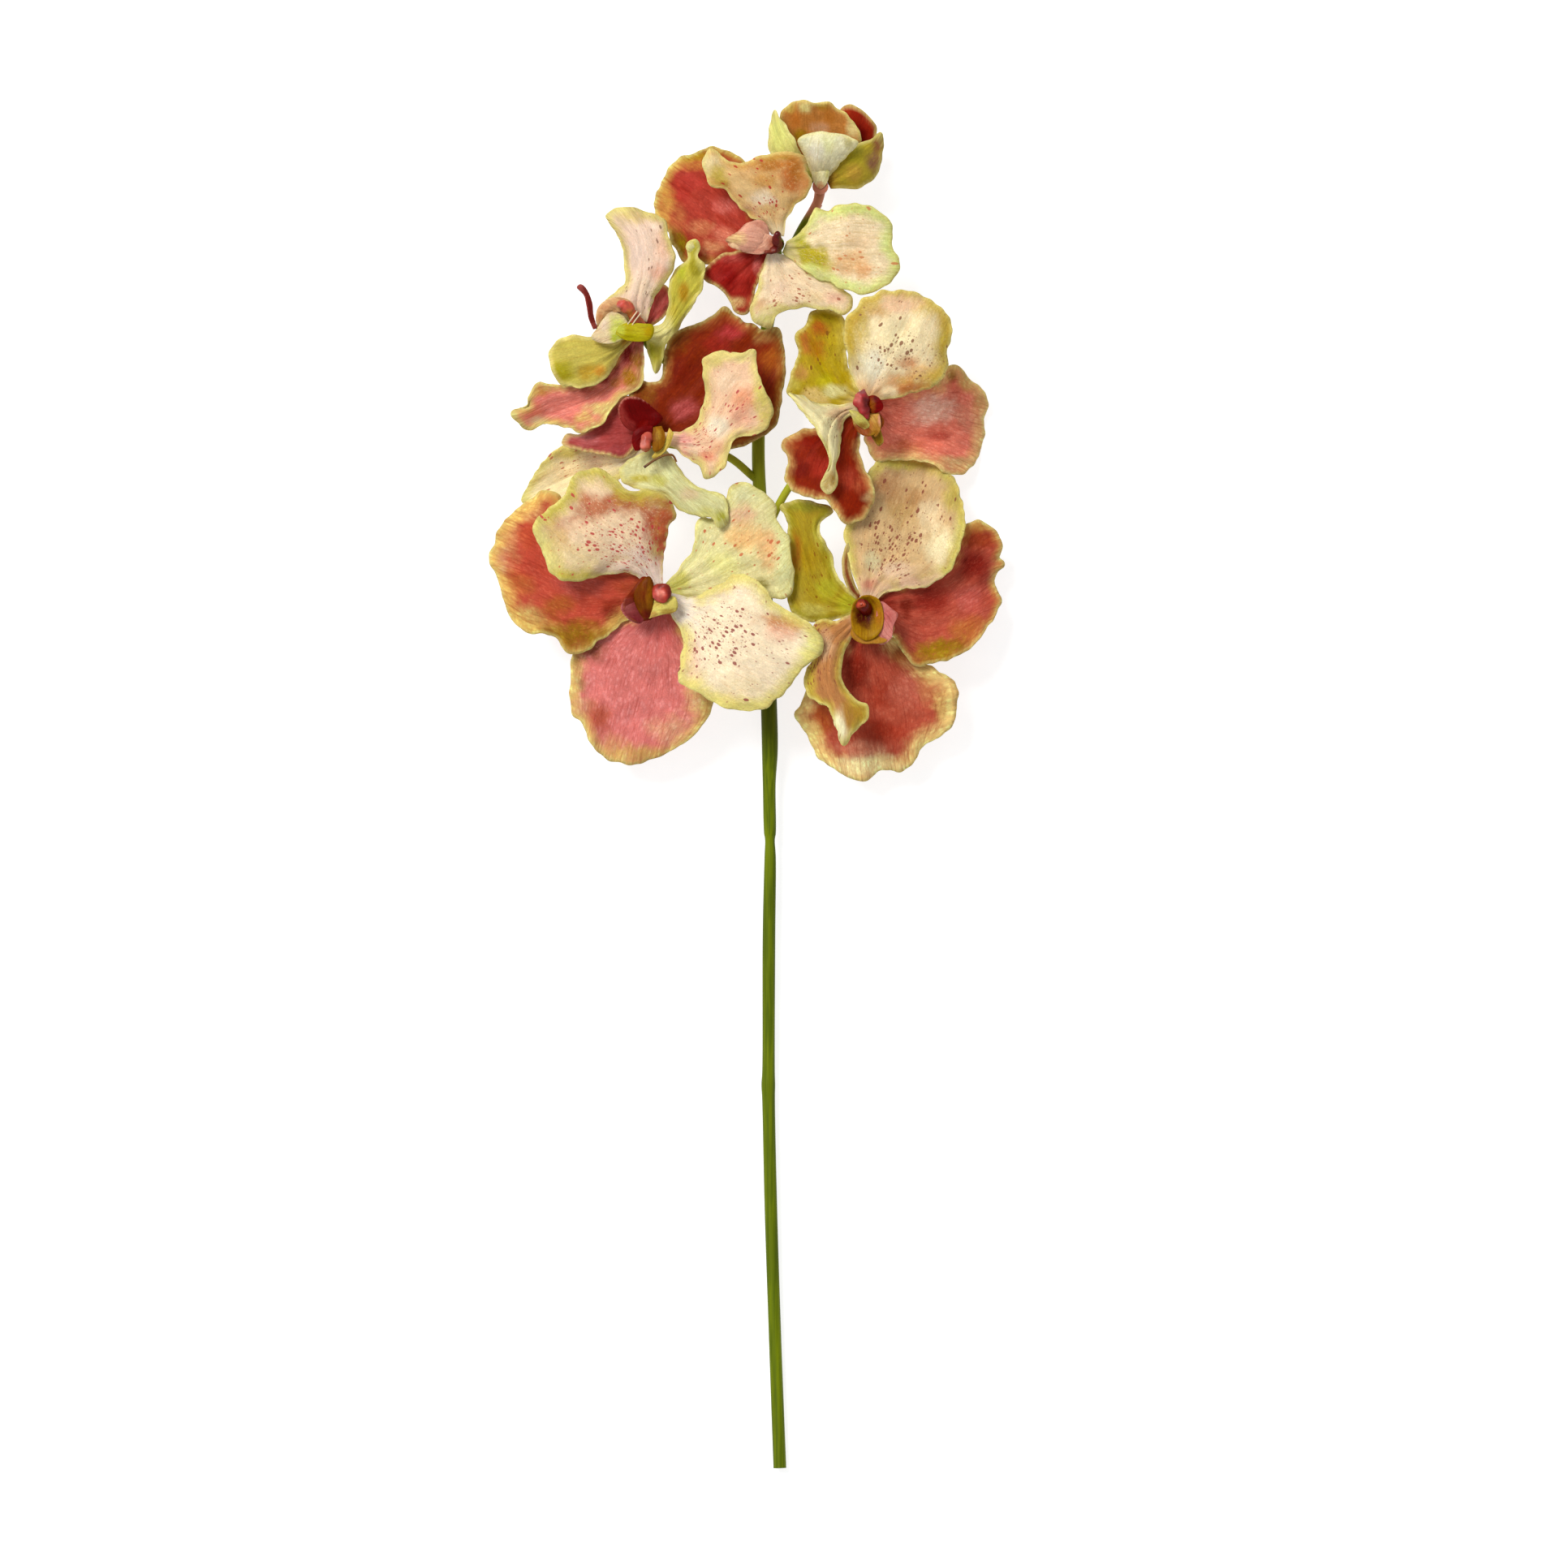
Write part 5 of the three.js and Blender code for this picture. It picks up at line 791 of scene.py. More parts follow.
    # The lip's dark maroon core and heart are partly its own dark red and partly painted shade from the base
    # of the upper sepal; its rose washes and rim are its own colour.
    "bloom_d_lip": Paint((112, 12, 10), (120, 20, 14, 5), [
        (-64, 455, 2.6, 7, (156, 56, 50), 0.95), (-60, 450, 2.4, 3, (150, 50, 46), 0.9),
        (-54, 451, 3, 2.4, (128, 24, 16), 0.8),
    ], rim=(206, 128, 108, 1)),
    "bloom_e_lip": Paint((226, 200, 158), (206, 200, 70, 8), [
        (-67, 490, 6, 3, (206, 204, 90), 0.9), (-64, 503, 5, 2.5, (202, 90, 66), 0.9),
    ], rim=(206, 120, 92, 1.5)),
    "bloom_f_lip": Paint((226, 164, 138), (150, 60, 40, 4), [
        (-15, 531, 5, 3, (230, 196, 130), 0.9),
    ], rim=(196, 120, 92, 1)),
    "bud_left_sepal": Paint((226, 222, 130), (190, 188, 70, 8), [
        (4, 575, 3, 8, (216, 218, 120), 0.7), (2, 587, 2, 3, (214, 200, 110), 0.8),
    ], rim=(236, 232, 170, 1)),
    "bud_front_sepal": Paint((242, 234, 190), (206, 196, 136, 7), [
        (26, 572, 4, 5, (224, 222, 160), 0.85), (20, 569, 4, 4, (236, 230, 206), 0.8),
        (15, 573, 3, 4, (236, 234, 190), 0.8), (34, 573, 2.5, 3, (160, 146, 70), 0.7),
    ], rim=(236, 230, 196, 1)),
    "bud_right_sepal": Paint((180, 158, 50), (180, 130, 50, 8), [
        (35, 567, 5, 4, (180, 168, 42), 0.8), (38, 571, 4, 3, (190, 178, 62), 0.8),
        (36, 560, 4, 4, (190, 150, 62), 0.8), (45, 565, 3.5, 5, (150, 100, 80), 0.9),
        (47, 572, 3, 4, (140, 80, 60), 0.9),
    ], rim=(170, 146, 60, 1)),
    "bud_back_petal": Paint((190, 124, 60), (160, 110, 50, 10), [
        (11, 583, 3, 4, (190, 110, 42), 0.85), (9, 588, 3, 2.5, (200, 170, 80), 0.85),
        (15, 588, 3, 2.5, (226, 214, 140), 0.9), (23, 589, 3, 2, (160, 120, 34), 0.9),
        (26, 584, 3, 3, (180, 110, 42), 0.8), (13, 576, 3, 3, (170, 130, 16), 0.9),
        (22, 579, 4, 3, (206, 154, 114), 0.9), (36, 580, 3, 5, (226, 206, 140), 0.95),
    ], rim=(196, 156, 66, 1)),
    "bud_side_petal": Paint((150, 40, 24), (110, 20, 12, 8), [
        (33, 587, 3, 3, (180, 60, 30), 0.9), (40, 577, 3, 4, (110, 12, 10), 0.95),
    ], rim=(130, 30, 20, 1)),
    "bloom_a_leaf": Paint((122, 66, 16), (104, 30, 14, 8), [
        (-51.5, 376, 1.6, 8, (160, 104, 24), 0.8), (-56.5, 376, 2, 5, (110, 52, 16), 0.7),
        (-53, 369, 3, 3, (104, 22, 18), 0.9),
    ], rim=(150, 96, 30, 1)),
    "bloom_a_left_lobe": Paint((146, 62, 62), (110, 30, 30, 6), [
        (-61, 372, 2.4, 3, (160, 84, 80), 0.7), (-57, 367, 3, 2, (120, 30, 40), 0.7),
    ], rim=(196, 116, 108, 0.9)),
    "bloom_a_crescent": Paint((222, 206, 106), (206, 176, 80, 5), [
        (-43, 370.5, 4, 1.4, (170, 130, 50), 0.8), (-50, 369, 2, 2, (180, 120, 60), 0.7),
    ], rim=(196, 160, 70, 0.8)),
    # Bloom A's column: its pale pink middle is a painted highlight, and its dark top and right side are
    # painted shade.
    "bloom_a_column": Paint((190, 66, 52), (220, 110, 96, 2), [
        (-43, 378, 1.4, 5, (112, 24, 8), 0.95), (-46.6, 378.2, 1.8, 1.6, (236, 134, 114), 0.9),
        (-49.5, 376.6, 1.6, 2.4, (196, 84, 76), 0.8), (-46, 381.4, 4, 1.2, (126, 34, 10), 0.9),
    ]),
    "bloom_b_throat": Paint((168, 122, 22), (96, 24, 12, 2), [
        (41, 369.4, 5, 6.4, (92, 4, 4), 0.98), (41, 367, 4, 3.6, (80, 0, 0), 0.9),
        (47.6, 369, 1.8, 6, (184, 116, 34), 0.8), (43, 360.6, 5, 1.6, (172, 128, 30), 0.8),
        (37, 362, 2, 3, (160, 116, 20), 0.7),
    ], rim=(180, 134, 30, 1.4)),
    "bloom_b_flange": Paint((208, 122, 112), (170, 70, 50, 4), [
        (50.5, 361, 2, 3.4, (222, 146, 132), 0.8), (51, 369, 3, 3, (196, 96, 90), 0.7),
    ], rim=(230, 168, 150, 1.2)),
    "bloom_b_column": Paint((110, 20, 12), (110, 20, 12, 2), [
        (39.4, 373.4, 1.9, 1.9, (196, 76, 40), 0.95),
    ]),
    "bloom_c_left_lobe": Paint((204, 192, 98), (190, 150, 60, 3), [
        (40, 450.6, 2.4, 1.6, (160, 112, 40), 0.9), (36, 455, 1.6, 1.6, (206, 186, 120), 0.7),
    ], rim=(230, 208, 150, 0.9)),
    "bloom_c_right_lobe": Paint((190, 134, 54), (160, 90, 40, 3), [
        (45, 454, 2, 2.4, (206, 160, 76), 0.9), (47.6, 453, 0.9, 3, (230, 160, 130), 0.9),
        (45.6, 447.4, 1.6, 2.4, (150, 100, 26), 0.9), (43.4, 450, 1.4, 2.4, (170, 100, 50), 0.8),
    ], rim=(206, 150, 96, 0.8)),
    "bloom_c_dark_lobe": Paint((130, 8, 8), (130, 8, 8, 1), [
        (44.4, 459, 1.3, 4, (150, 80, 24), 0.95), (46, 462.4, 1.6, 1.2, (90, 0, 0), 0.8),
    ], rim=(140, 30, 24, 0.6)),
    "bloom_c_tail": Paint((156, 120, 30), (170, 130, 50, 4), [
        (46, 446, 1.6, 2.4, (140, 92, 20), 0.6),
    ], rim=(176, 146, 70, 1)),
    "bloom_c_column": Paint((176, 50, 54), (190, 70, 66, 3), [
        (37.4, 462.6, 1.8, 3, (212, 110, 100), 0.9), (41.8, 459.6, 1.8, 4, (104, 0, 16), 0.95),
        (40, 465, 2, 1, (150, 90, 90), 0.8),
    ]),
    "bloom_d_dark_lobe": Paint((116, 14, 14), (100, 4, 8, 4), [], rim=(176, 80, 76, 0.9)),
    "bloom_d_crescent": Paint((150, 96, 24), (120, 50, 14, 3), [
        (-47.8, 446, 1.2, 3, (184, 140, 50), 0.8),
    ], rim=(110, 50, 20, 0.9)),
    "bloom_d_pale_band": Paint((214, 186, 82), (200, 160, 60, 4), [
        (-43, 447, 1, 3, (226, 190, 90), 0.8),
    ], rim=(150, 110, 20, 0.6)),
    "bloom_d_column": Paint((206, 100, 76), (196, 84, 70, 3), [
        (-54.6, 442.6, 1.6, 1.8, (222, 130, 116), 0.9), (-52, 440, 2, 2, (196, 96, 56), 0.8),
        (-51, 443, 1, 2, (150, 50, 30), 0.8),
    ]),
    "bloom_d_threads": Paint((120, 74, 16), (120, 74, 16, 3), [(-54, 432.6, 1.2, 1.2, (84, 40, 10), 0.9)]),
    "bloom_e_hood": Paint((216, 168, 116), (206, 150, 100, 6), [
        (-73, 496, 1.6, 3, (190, 110, 60), 0.8), (-70, 501.4, 3, 1.4, (214, 150, 104), 0.7),
        (-62, 501, 2.4, 2, (206, 110, 90), 0.8),
    ], rim=(226, 190, 140, 1)),
    "bloom_e_pouch": Paint((230, 206, 160), (206, 204, 110, 6), [
        (-65.4, 492.6, 3.6, 6, (208, 212, 92), 0.95), (-64, 488.6, 5, 1.6, (176, 184, 30), 0.85),
        (-71.4, 494.6, 2, 3, (232, 206, 180), 0.8), (-73.6, 489.4, 2, 2, (234, 206, 160), 0.8),
    ], rim=(232, 218, 150, 0.8)),
    "bloom_e_olive_lobe": Paint((182, 168, 22), (190, 176, 40, 4), [
        (-60, 488.8, 5, 1.4, (170, 160, 20), 0.8), (-52, 491, 2, 2.4, (184, 150, 20), 0.85),
        (-64, 491.6, 2.4, 2.4, (196, 200, 70), 0.9),
    ], rim=(206, 198, 80, 0.8)),
    "bloom_e_tongue": Paint((118, 40, 34), (128, 44, 34, 4), [
        (-81, 509.6, 2, 1.4, (130, 80, 80), 0.7), (-75.6, 494, 1.4, 2, (150, 70, 60), 0.6),
    ], rim=(170, 90, 84, 0.6)),
    "bloom_e_column": Paint((206, 92, 70), (176, 110, 40, 4), [
        (-64, 502.6, 2, 1.6, (214, 84, 72), 0.9), (-66, 501, 1.4, 1.4, (232, 170, 150), 0.8),
        (-60, 498.6, 2, 2, (190, 120, 50), 0.8),
    ]),
    "bloom_e_threads": Paint((236, 214, 176), (200, 140, 80, 3), []),
    "bloom_f_apron": Paint((230, 172, 142), (206, 120, 90, 4), [
        (-15, 529, 5, 3, (236, 198, 150), 0.9), (-4, 526, 5, 1.6, (214, 140, 116), 0.8),
    ], rim=(214, 140, 110, 0.8)),
    "bud_base": Paint((232, 224, 172), (206, 160, 116, 2), [
        (21.4, 553.4, 2.2, 1.4, (198, 140, 104), 0.9), (25, 560, 1.4, 2.4, (196, 190, 110), 0.8),
    ], rim=(226, 216, 160, 0.6)),
    # The dark brown of bloom B's curled-back petal edge is painted shade.
    "bloom_b_upper_petal_curl": Paint((126, 52, 18), (140, 60, 30, 6), [
        (33, 396, 2, 4, (150, 96, 34), 0.8), (36, 380, 2, 4, (112, 32, 14), 0.8),
    ], rim=(150, 96, 40, 0.8)),
    "bloom_e_dorsal_sepal_curl": Paint((222, 214, 150), (196, 190, 90, 2), [
        (-33, 526.4, 2, 1, (186, 182, 70), 0.8),
    ], rim=(206, 196, 110, 0.6)),
    "bloom_f_column": Paint((96, 18, 16), (110, 30, 24, 3), [
        (0, 526, 3, 1, (150, 70, 40), 0.5), (3.4, 533, 1.2, 1.6, (104, 24, 24), 0.8),
    ]),
}


def plain_linear(colour):
    """A screen colour as the light values that shaders use."""
    share = np.asarray(colour, float) / 255
    return np.where(share <= 0.04045, share / 12.92, ((share + 0.055) / 1.055) ** 2.4)


def linear(colour):
    """The same, darkened by what the studio's lights and the petals' own sheen add."""
    return np.maximum(plain_linear(colour) - SHEEN, 0.001) / STUDIO_LIGHT


def eased(x):
    x = np.clip(x, 0, 1)
    return x * x * (3 - 2 * x)


def placed(points):
    """Drawn points in the frame's own place and size."""
    return (np.asarray(points) + FRAME_SHIFT) * MM


def noise_at(x, y, scale, seed):
    return np.array([noise.noise(Vector((u / scale, v / scale, seed))) for u, v in zip(x, y)])


def curve_through(points, steps=16):
    """A smooth curve through points, as closely spaced points on it."""
    points = np.asarray(points, float)
    chain = np.vstack([2 * points[0] - points[1], points, 2 * points[-1] - points[-2]])
    found = []
    for a, b, c, d in zip(chain, chain[1:], chain[2:], chain[3:]):
        t1 = np.linalg.norm(b - a) ** 0.5
        t2 = t1 + np.linalg.norm(c - b) ** 0.5
        t3 = t2 + np.linalg.norm(d - c) ** 0.5
        for t in np.linspace(t1, t2, steps, endpoint=False):
            ab = a + (b - a) * t / t1
            bc = b + (c - b) * (t - t1) / (t2 - t1)
            cd = c + (d - c) * (t - t2) / (t3 - t2)
            abc = ab + (bc - ab) * t / t2
            bcd = bc + (cd - bc) * (t - t1) / (t3 - t1)
            found.append(abc + (bcd - abc) * (t - t1) / (t2 - t1))
    found.append(points[-1])
    return np.array(found)


def travelled_along(points):
    """How far along a chain of points each one is."""
    return np.concatenate([[0], np.cumsum(np.linalg.norm(np.diff(points, axis=0), axis=1))])


def is_clockwise(points):
    x, y = np.asarray(points, float).T
    return np.sum(x * np.roll(y, -1) - np.roll(x, -1) * y) < 0


class Rim:
    """A blade's edge from one corner of its claw round to the other, counter-clockwise from above."""

    def __init__(self, heart, blade):
        outline = np.array(blade.rim, float)
        heights = list(blade.heights)
        foot = blade.foot
        claw = np.empty((0, 2))
        sideways = 0
        if blade.towards:
            foot = heart[2] + CLAW_LOWEST + CLAW_STEP * blade.level
            outward = np.array(blade.towards, float) - heart[:2]
            outward /= np.linalg.norm(outward)
            sideways = np.array([outward[1], -outward[0]]) * CLAW_HALF_WIDTH
            claw = np.array([heart[:2] + outward * (KNOB_RADIUS + CLEARANCE)])
        if is_clockwise(np.vstack([claw, outline])):
            outline = outline[::-1]
            heights.reverse()
        outline = np.vstack([claw + sideways, outline, claw - sideways])
        travelled = travelled_along(outline)
        z = [self.height(share, [foot, *heights, foot]) for share in travelled / travelled[-1]]
        self.points = curve_through(np.column_stack([outline, z]))
        self.measure()
        self.crinkle(outline[0][0])

    @staticmethod
    def height(share, levels):
        k = int(np.clip(np.searchsorted(RIM_STATIONS, share, side="left"), 1, len(RIM_STATIONS) - 1))
        local = (share - RIM_STATIONS[k - 1]) / (RIM_STATIONS[k] - RIM_STATIONS[k - 1])
        return levels[k - 1] + (levels[k] - levels[k - 1]) * float(eased(local))

    def measure(self):
        self.travelled = travelled_along(self.points)
        self.length = self.travelled[-1]

    def crinkle(self, seed):
        """Small waves in the edge as seen from above, none of them at the claw."""
        away = eased(np.minimum(self.travelled, self.length - self.travelled) / CRINKLE_CLEAR)
        along = np.gradient(self.points[:, :2], axis=0)
        along /= np.linalg.norm(along, axis=1)[:, None] + 1e-9
        wave = noise_at(self.travelled, np.zeros(len(away)), CRINKLE_LENGTH, seed)
        size = CRINKLE * min(1, self.length / CRINKLE_FULL_RIM)
        self.points[:, 0] += size * away * wave * along[:, 1]
        self.points[:, 1] -= size * away * wave * along[:, 0]
        self.measure()

    def at(self, share):
        place = np.asarray(share) * self.length
        return np.column_stack([np.interp(place, self.travelled, self.points[:, i]) for i in range(3)])

    def distance(self, points):
        """How far each point is from the rim as seen from above."""
        nearest = np.full(len(points), np.inf)
        for x, y in self.points[::4, :2]:
            nearest = np.minimum(nearest, np.hypot(points[:, 0] - x, points[:, 1] - y))
        return nearest


def even_out(x, y, passes):
    """Spreads the inner points of a grid evenly as seen from above, so that it has no fold."""
    for _ in range(passes):
        across = [(g[1:-1, 2:] - g[1:-1, :-2]) / 2 for g in (x, y)]
        along = [(g[2:, 1:-1] - g[:-2, 1:-1]) / 2 for g in (x, y)]
        alpha = along[0] ** 2 + along[1] ** 2
        beta = across[0] * along[0] + across[1] * along[1]
        gamma = across[0] ** 2 + across[1] ** 2
        for g in (x, y):
            corners = g[2:, 2:] - g[2:, :-2] - g[:-2, 2:] + g[:-2, :-2]
            sides = alpha * (g[1:-1, 2:] + g[1:-1, :-2]) + gamma * (g[2:, 1:-1] + g[:-2, 1:-1])
            g[1:-1, 1:-1] = (sides - beta * corners / 2) / (2 * (alpha + gamma) + 1e-9)


def evened(points, cells, passes):
    """A copy of a grid's points as seen from above, spread evenly: x and y, each as a square table."""
    x, y = (points[:, i].reshape(cells + 1, -1).copy() for i in range(2))
    even_out(x, y, passes)
    return x, y


def patch(rim, s, t):
    """The rim's two sides and its tip blended into one surface. s runs across it and t along it."""
    first = rim.at(TIP_FROM * t)
    second = rim.at(1 - (1 - TIP_TO) * t)
    tip = rim.at(TIP_FROM + (TIP_TO - TIP_FROM) * s)
    tip_start, tip_end = rim.at([TIP_FROM, TIP_TO])
    chord = tip_start + (tip_end - tip_start) * s[:, None]
    return first + (second - first) * s[:, None] + (tip - chord) * t[:, None]


def blade_points(rim, blade, s, t, cells):
    """The blade stretched inside its rim, with its points spread evenly: coarsely first, then finely."""
    coarse_line = np.linspace(0, 1, COARSE_CELLS + 1)
    fine_line = np.linspace(0, 1, cells + 1)
    start = patch(rim, *(g.ravel() for g in np.meshgrid(coarse_line, coarse_line)))
    points = patch(rim, s, t)
    for axis, spread in enumerate(evened(start, COARSE_CELLS, COARSE_PASSES)):
        moved = spread - start[:, axis].reshape(spread.shape)
        fine = np.array([np.interp(fine_line, coarse_line, row) for row in moved])
        fine = np.array([np.interp(fine_line, coarse_line, column) for column in fine.T])
        points[:, axis] += fine.T.ravel()
    for axis, spread in enumerate(evened(points, cells, FINE_PASSES)):
        points[:, axis] = spread.ravel()
    points[:, 2] += blade.arch * 16 * s * (1 - s) * t * (1 - t)
    edge = np.maximum(np.abs(2 * s - 1), t) ** 4
    turn = np.arctan2(t - RUFFLE_CENTRE, s - 0.5)
    points[:, 2] += blade.wave * edge * np.sqrt(t) * np.sin(RUFFLES * turn + sum(blade.rim[0]))
    return points


def frill(rim, s, t, seed):
    """A wave that runs along the rim, the same all the way in from each rim point."""
    side_place = np.where(s < 0.5, TIP_FROM * t, 1 - (1 - TIP_TO) * t)
    tip_place = TIP_FROM + (TIP_TO - TIP_FROM) * s
    apart = np.full(len(s), seed * 2.3)
    side, tip = (noise_at(place * rim.length, apart, FRILL_LENGTH, seed) for place in (side_place, tip_place))
    return side + (tip - side) * eased((t - np.abs(2 * s - 1)) / 0.3 + 0.5)


def relief(rim, points, s, t, inward, seed):
    """Height added to a blade: swells, a frilled and rolled-back margin, ribs that fan out of the claw,
    folds near it and a midrib groove."""
    swell = noise_at(points[:, 0], points[:, 1], SWELL_LENGTH, seed)
    warp = noise_at(points[:, 0], points[:, 1], WARP_LENGTH, seed + 40)
    between = np.sin(np.pi * np.clip(t, 0, 1))
    height = SWELL * swell + FRILL * np.exp(-((inward / FRILL_REACH) ** 2)) * frill(rim, s, t, seed)
    height += RIB * np.sin((s + RIB_WARP * warp) * 2 * np.pi * RIBS) * between**0.7
    height += FOLD * np.sin((s + FOLD_WARP * warp) * 2 * np.pi * FOLDS + seed) * (1 - t)
    height -= ROLL * np.exp(-inward / ROLL_REACH)
    groove = GROOVE * np.exp(-(((s - 0.5) / GROOVE_WIDTH) ** 2)) * between**0.5
    return eased(t / CALM_CLAW) * height - groove


def vertex_values(piece, name):
    """A mesh's vertex places or normals, one row for each vertex."""
    flat = np.empty(len(piece.data.vertices) * 3)
    piece.data.vertices.foreach_get(name, flat)
    return flat.reshape(-1, 3)


def new_grid(name, cells):
    """A square grid of cells, with each vertex's place in it from 0 to 1."""
    bpy.ops.mesh.primitive_grid_add(x_subdivisions=cells, y_subdivisions=cells, size=1)
    piece = bpy.context.object
    piece.name = name
    piece.data.name = name
    places = vertex_values(piece, "co") + 0.5
    return piece, places[:, 0], places[:, 1]


def wash_share(points, x, y, across, up, loose):
    """How strongly a soft patch covers each point: fully in its middle, and loosely at its border."""
    spread = np.hypot((points[:, 0] - x) / across, (points[:, 1] - y) / up)
    return 1 - eased((spread + loose - WASH_FULL) / WASH_BORDER)


def loosened(points, seed):
    """Noise that loosens the borders of washes."""
    size = min(1.0, np.ptp(points[:, :2], axis=0).max() / LOOSE_FULL_SIZE)
    noises = [
        strength * noise_at(points[:, 0], points[:, 1], length * size, seed + shift)
        for strength, length, shift in LOOSE_NOISES
    ]
    return sum(noises)


def washed(points, base, washes, loose):
    """A base colour at each point with soft patches of other colours over it."""
    colour = np.tile(linear(base), (len(points), 1))
    for x, y, across, up, wash, strength in washes:
        share = strength * wash_share(points, x, y, across, up, loose)
        colour += (linear(wash) - colour) * share[:, None]
    return colour


def tint(points, paint, heart, loose):
    """Each point's broad colour: core, heart and washes."""
    *heart_colour, reach = paint.heart
    round_heart = (*heart[:2], reach, reach, heart_colour, 1)
    return washed(points, paint.core, [round_heart, *paint.washes], loose)


def dot_share(points, patches, seed):
    """How thickly a blade is dotted at each point."""
    loose = DOT_NOISE * noise_at(points[:, 0], points[:, 1], DOT_NOISE_LENGTH, seed + 60)
    share = np.full(len(points), FRECKLES if patches else 0)
    for x, y, across, up, density in patches:
        share = np.maximum(share, density * wash_share(points, x, y, across, up, loose))
    return share


def margin_place(points, inward, heart, width):
    """0 at the rim to 1 where the coloured margin ends, and more near the heart."""
    away = np.hypot(points[:, 0] - heart[0], points[:, 1] - heart[1])
    return inward / width + 2 * (1 - eased((away - HEART_CLEAR) / HEART_FADE))


ATTRIBUTE_KINDS = {1: ("FLOAT", "value"), 3: ("FLOAT_VECTOR", "vector"), 4: ("FLOAT_COLOR", "color")}


def add_attribute(piece, name, values, width=1):
    """A number, vector or colour at each vertex, by its width, which the materials read by its name."""
    if width == 4:
        values = np.column_stack([values, np.ones(len(values))])
    kind, field = ATTRIBUTE_KINDS[width]
    layer = piece.data.attributes.new(name, kind, "POINT")
    layer.data.foreach_set(field, values.ravel())


def paint_blade(piece, paint, heart, points, inward, seed):
    """A blade's colours: its broad tint, its core for stray specks, its margin, its edge and its dots."""
    count = len(points)
    *rim_colour, rim_width = paint.rim
    loose = loosened(points, seed)
    add_attribute(piece, "tint", tint(points, paint, heart, loose), 4)
    add_attribute(piece, "core", np.tile(linear(paint.core), (count, 1)), 4)
    add_attribute(piece, "spot", np.tile(linear(paint.spot), (count, 1)), 4)
    add_attribute(piece, "edge", washed(points, rim_colour, paint.edges, loose), 4)
    add_attribute(piece, "margin", margin_place(points, inward, heart, rim_width))
    add_attribute(piece, "dots", dot_share(points, paint.dots, seed))


def thicken(piece, inward, thickness):
    """Gives a blade its thickness, which falls off towards the rim."""
    body = piece.vertex_groups.new(name="body")
    for index, depth in enumerate(inward):
        body.add([index], float(min(1, RIM_THICKNESS_SHARE + depth / THINNED_WIDTH)), "REPLACE")
    wall = piece.modifiers.new("thickness", "SOLIDIFY")
    wall.thickness = thickness * MM
    wall.offset = 0
    wall.vertex_group = "body"
    wall.thickness_vertex_group = LEAST_THICKNESS_SHARE
    bpy.ops.object.modifier_apply(modifier=wall.name)
    bpy.ops.object.shade_smooth()
    piece.vertex_groups.clear()


def make_blade(name, heart, blade, thickness, size, seed):
    """A petal, sepal or lobe: a grid laid inside the rim, painted, swollen and given its thickness."""
    rim = Rim(heart, blade)
    cells = int(np.clip(rim.length / CELL_LENGTH, LEAST_CELLS, MOST_CELLS))
    piece, s, t = new_grid(f"{name}_dressed", cells)
    points = blade_points(rim, blade, s, t, cells)
    inward = rim.distance(points)
    paint_blade(piece, PAINT[name], heart, points, inward, seed)
    # The pale line along a petal's edge: partly its own pale rim, partly a painted highlight.
    line = EDGE_LINE * (1 - eased(inward / EDGE_WIDTH)) * eased(t / EDGE_PLAIN_CLAW)
    add_attribute(piece, "line", line * (thickness == PETAL_THICKNESS))
    across = (s - 0.5) * rim.length * FLOW_WIDTH
    along = t * rim.length * FLOW_LENGTH
    add_attribute(piece, "flow", np.column_stack([across, along, np.full(len(s), seed * FLOW_APART)]), 3)
    points[:, 2] += size * relief(rim, points, s, t, inward, seed)
    piece.data.vertices.foreach_set("co", placed(points).ravel())
    thicken(piece, inward, thickness)
    return piece


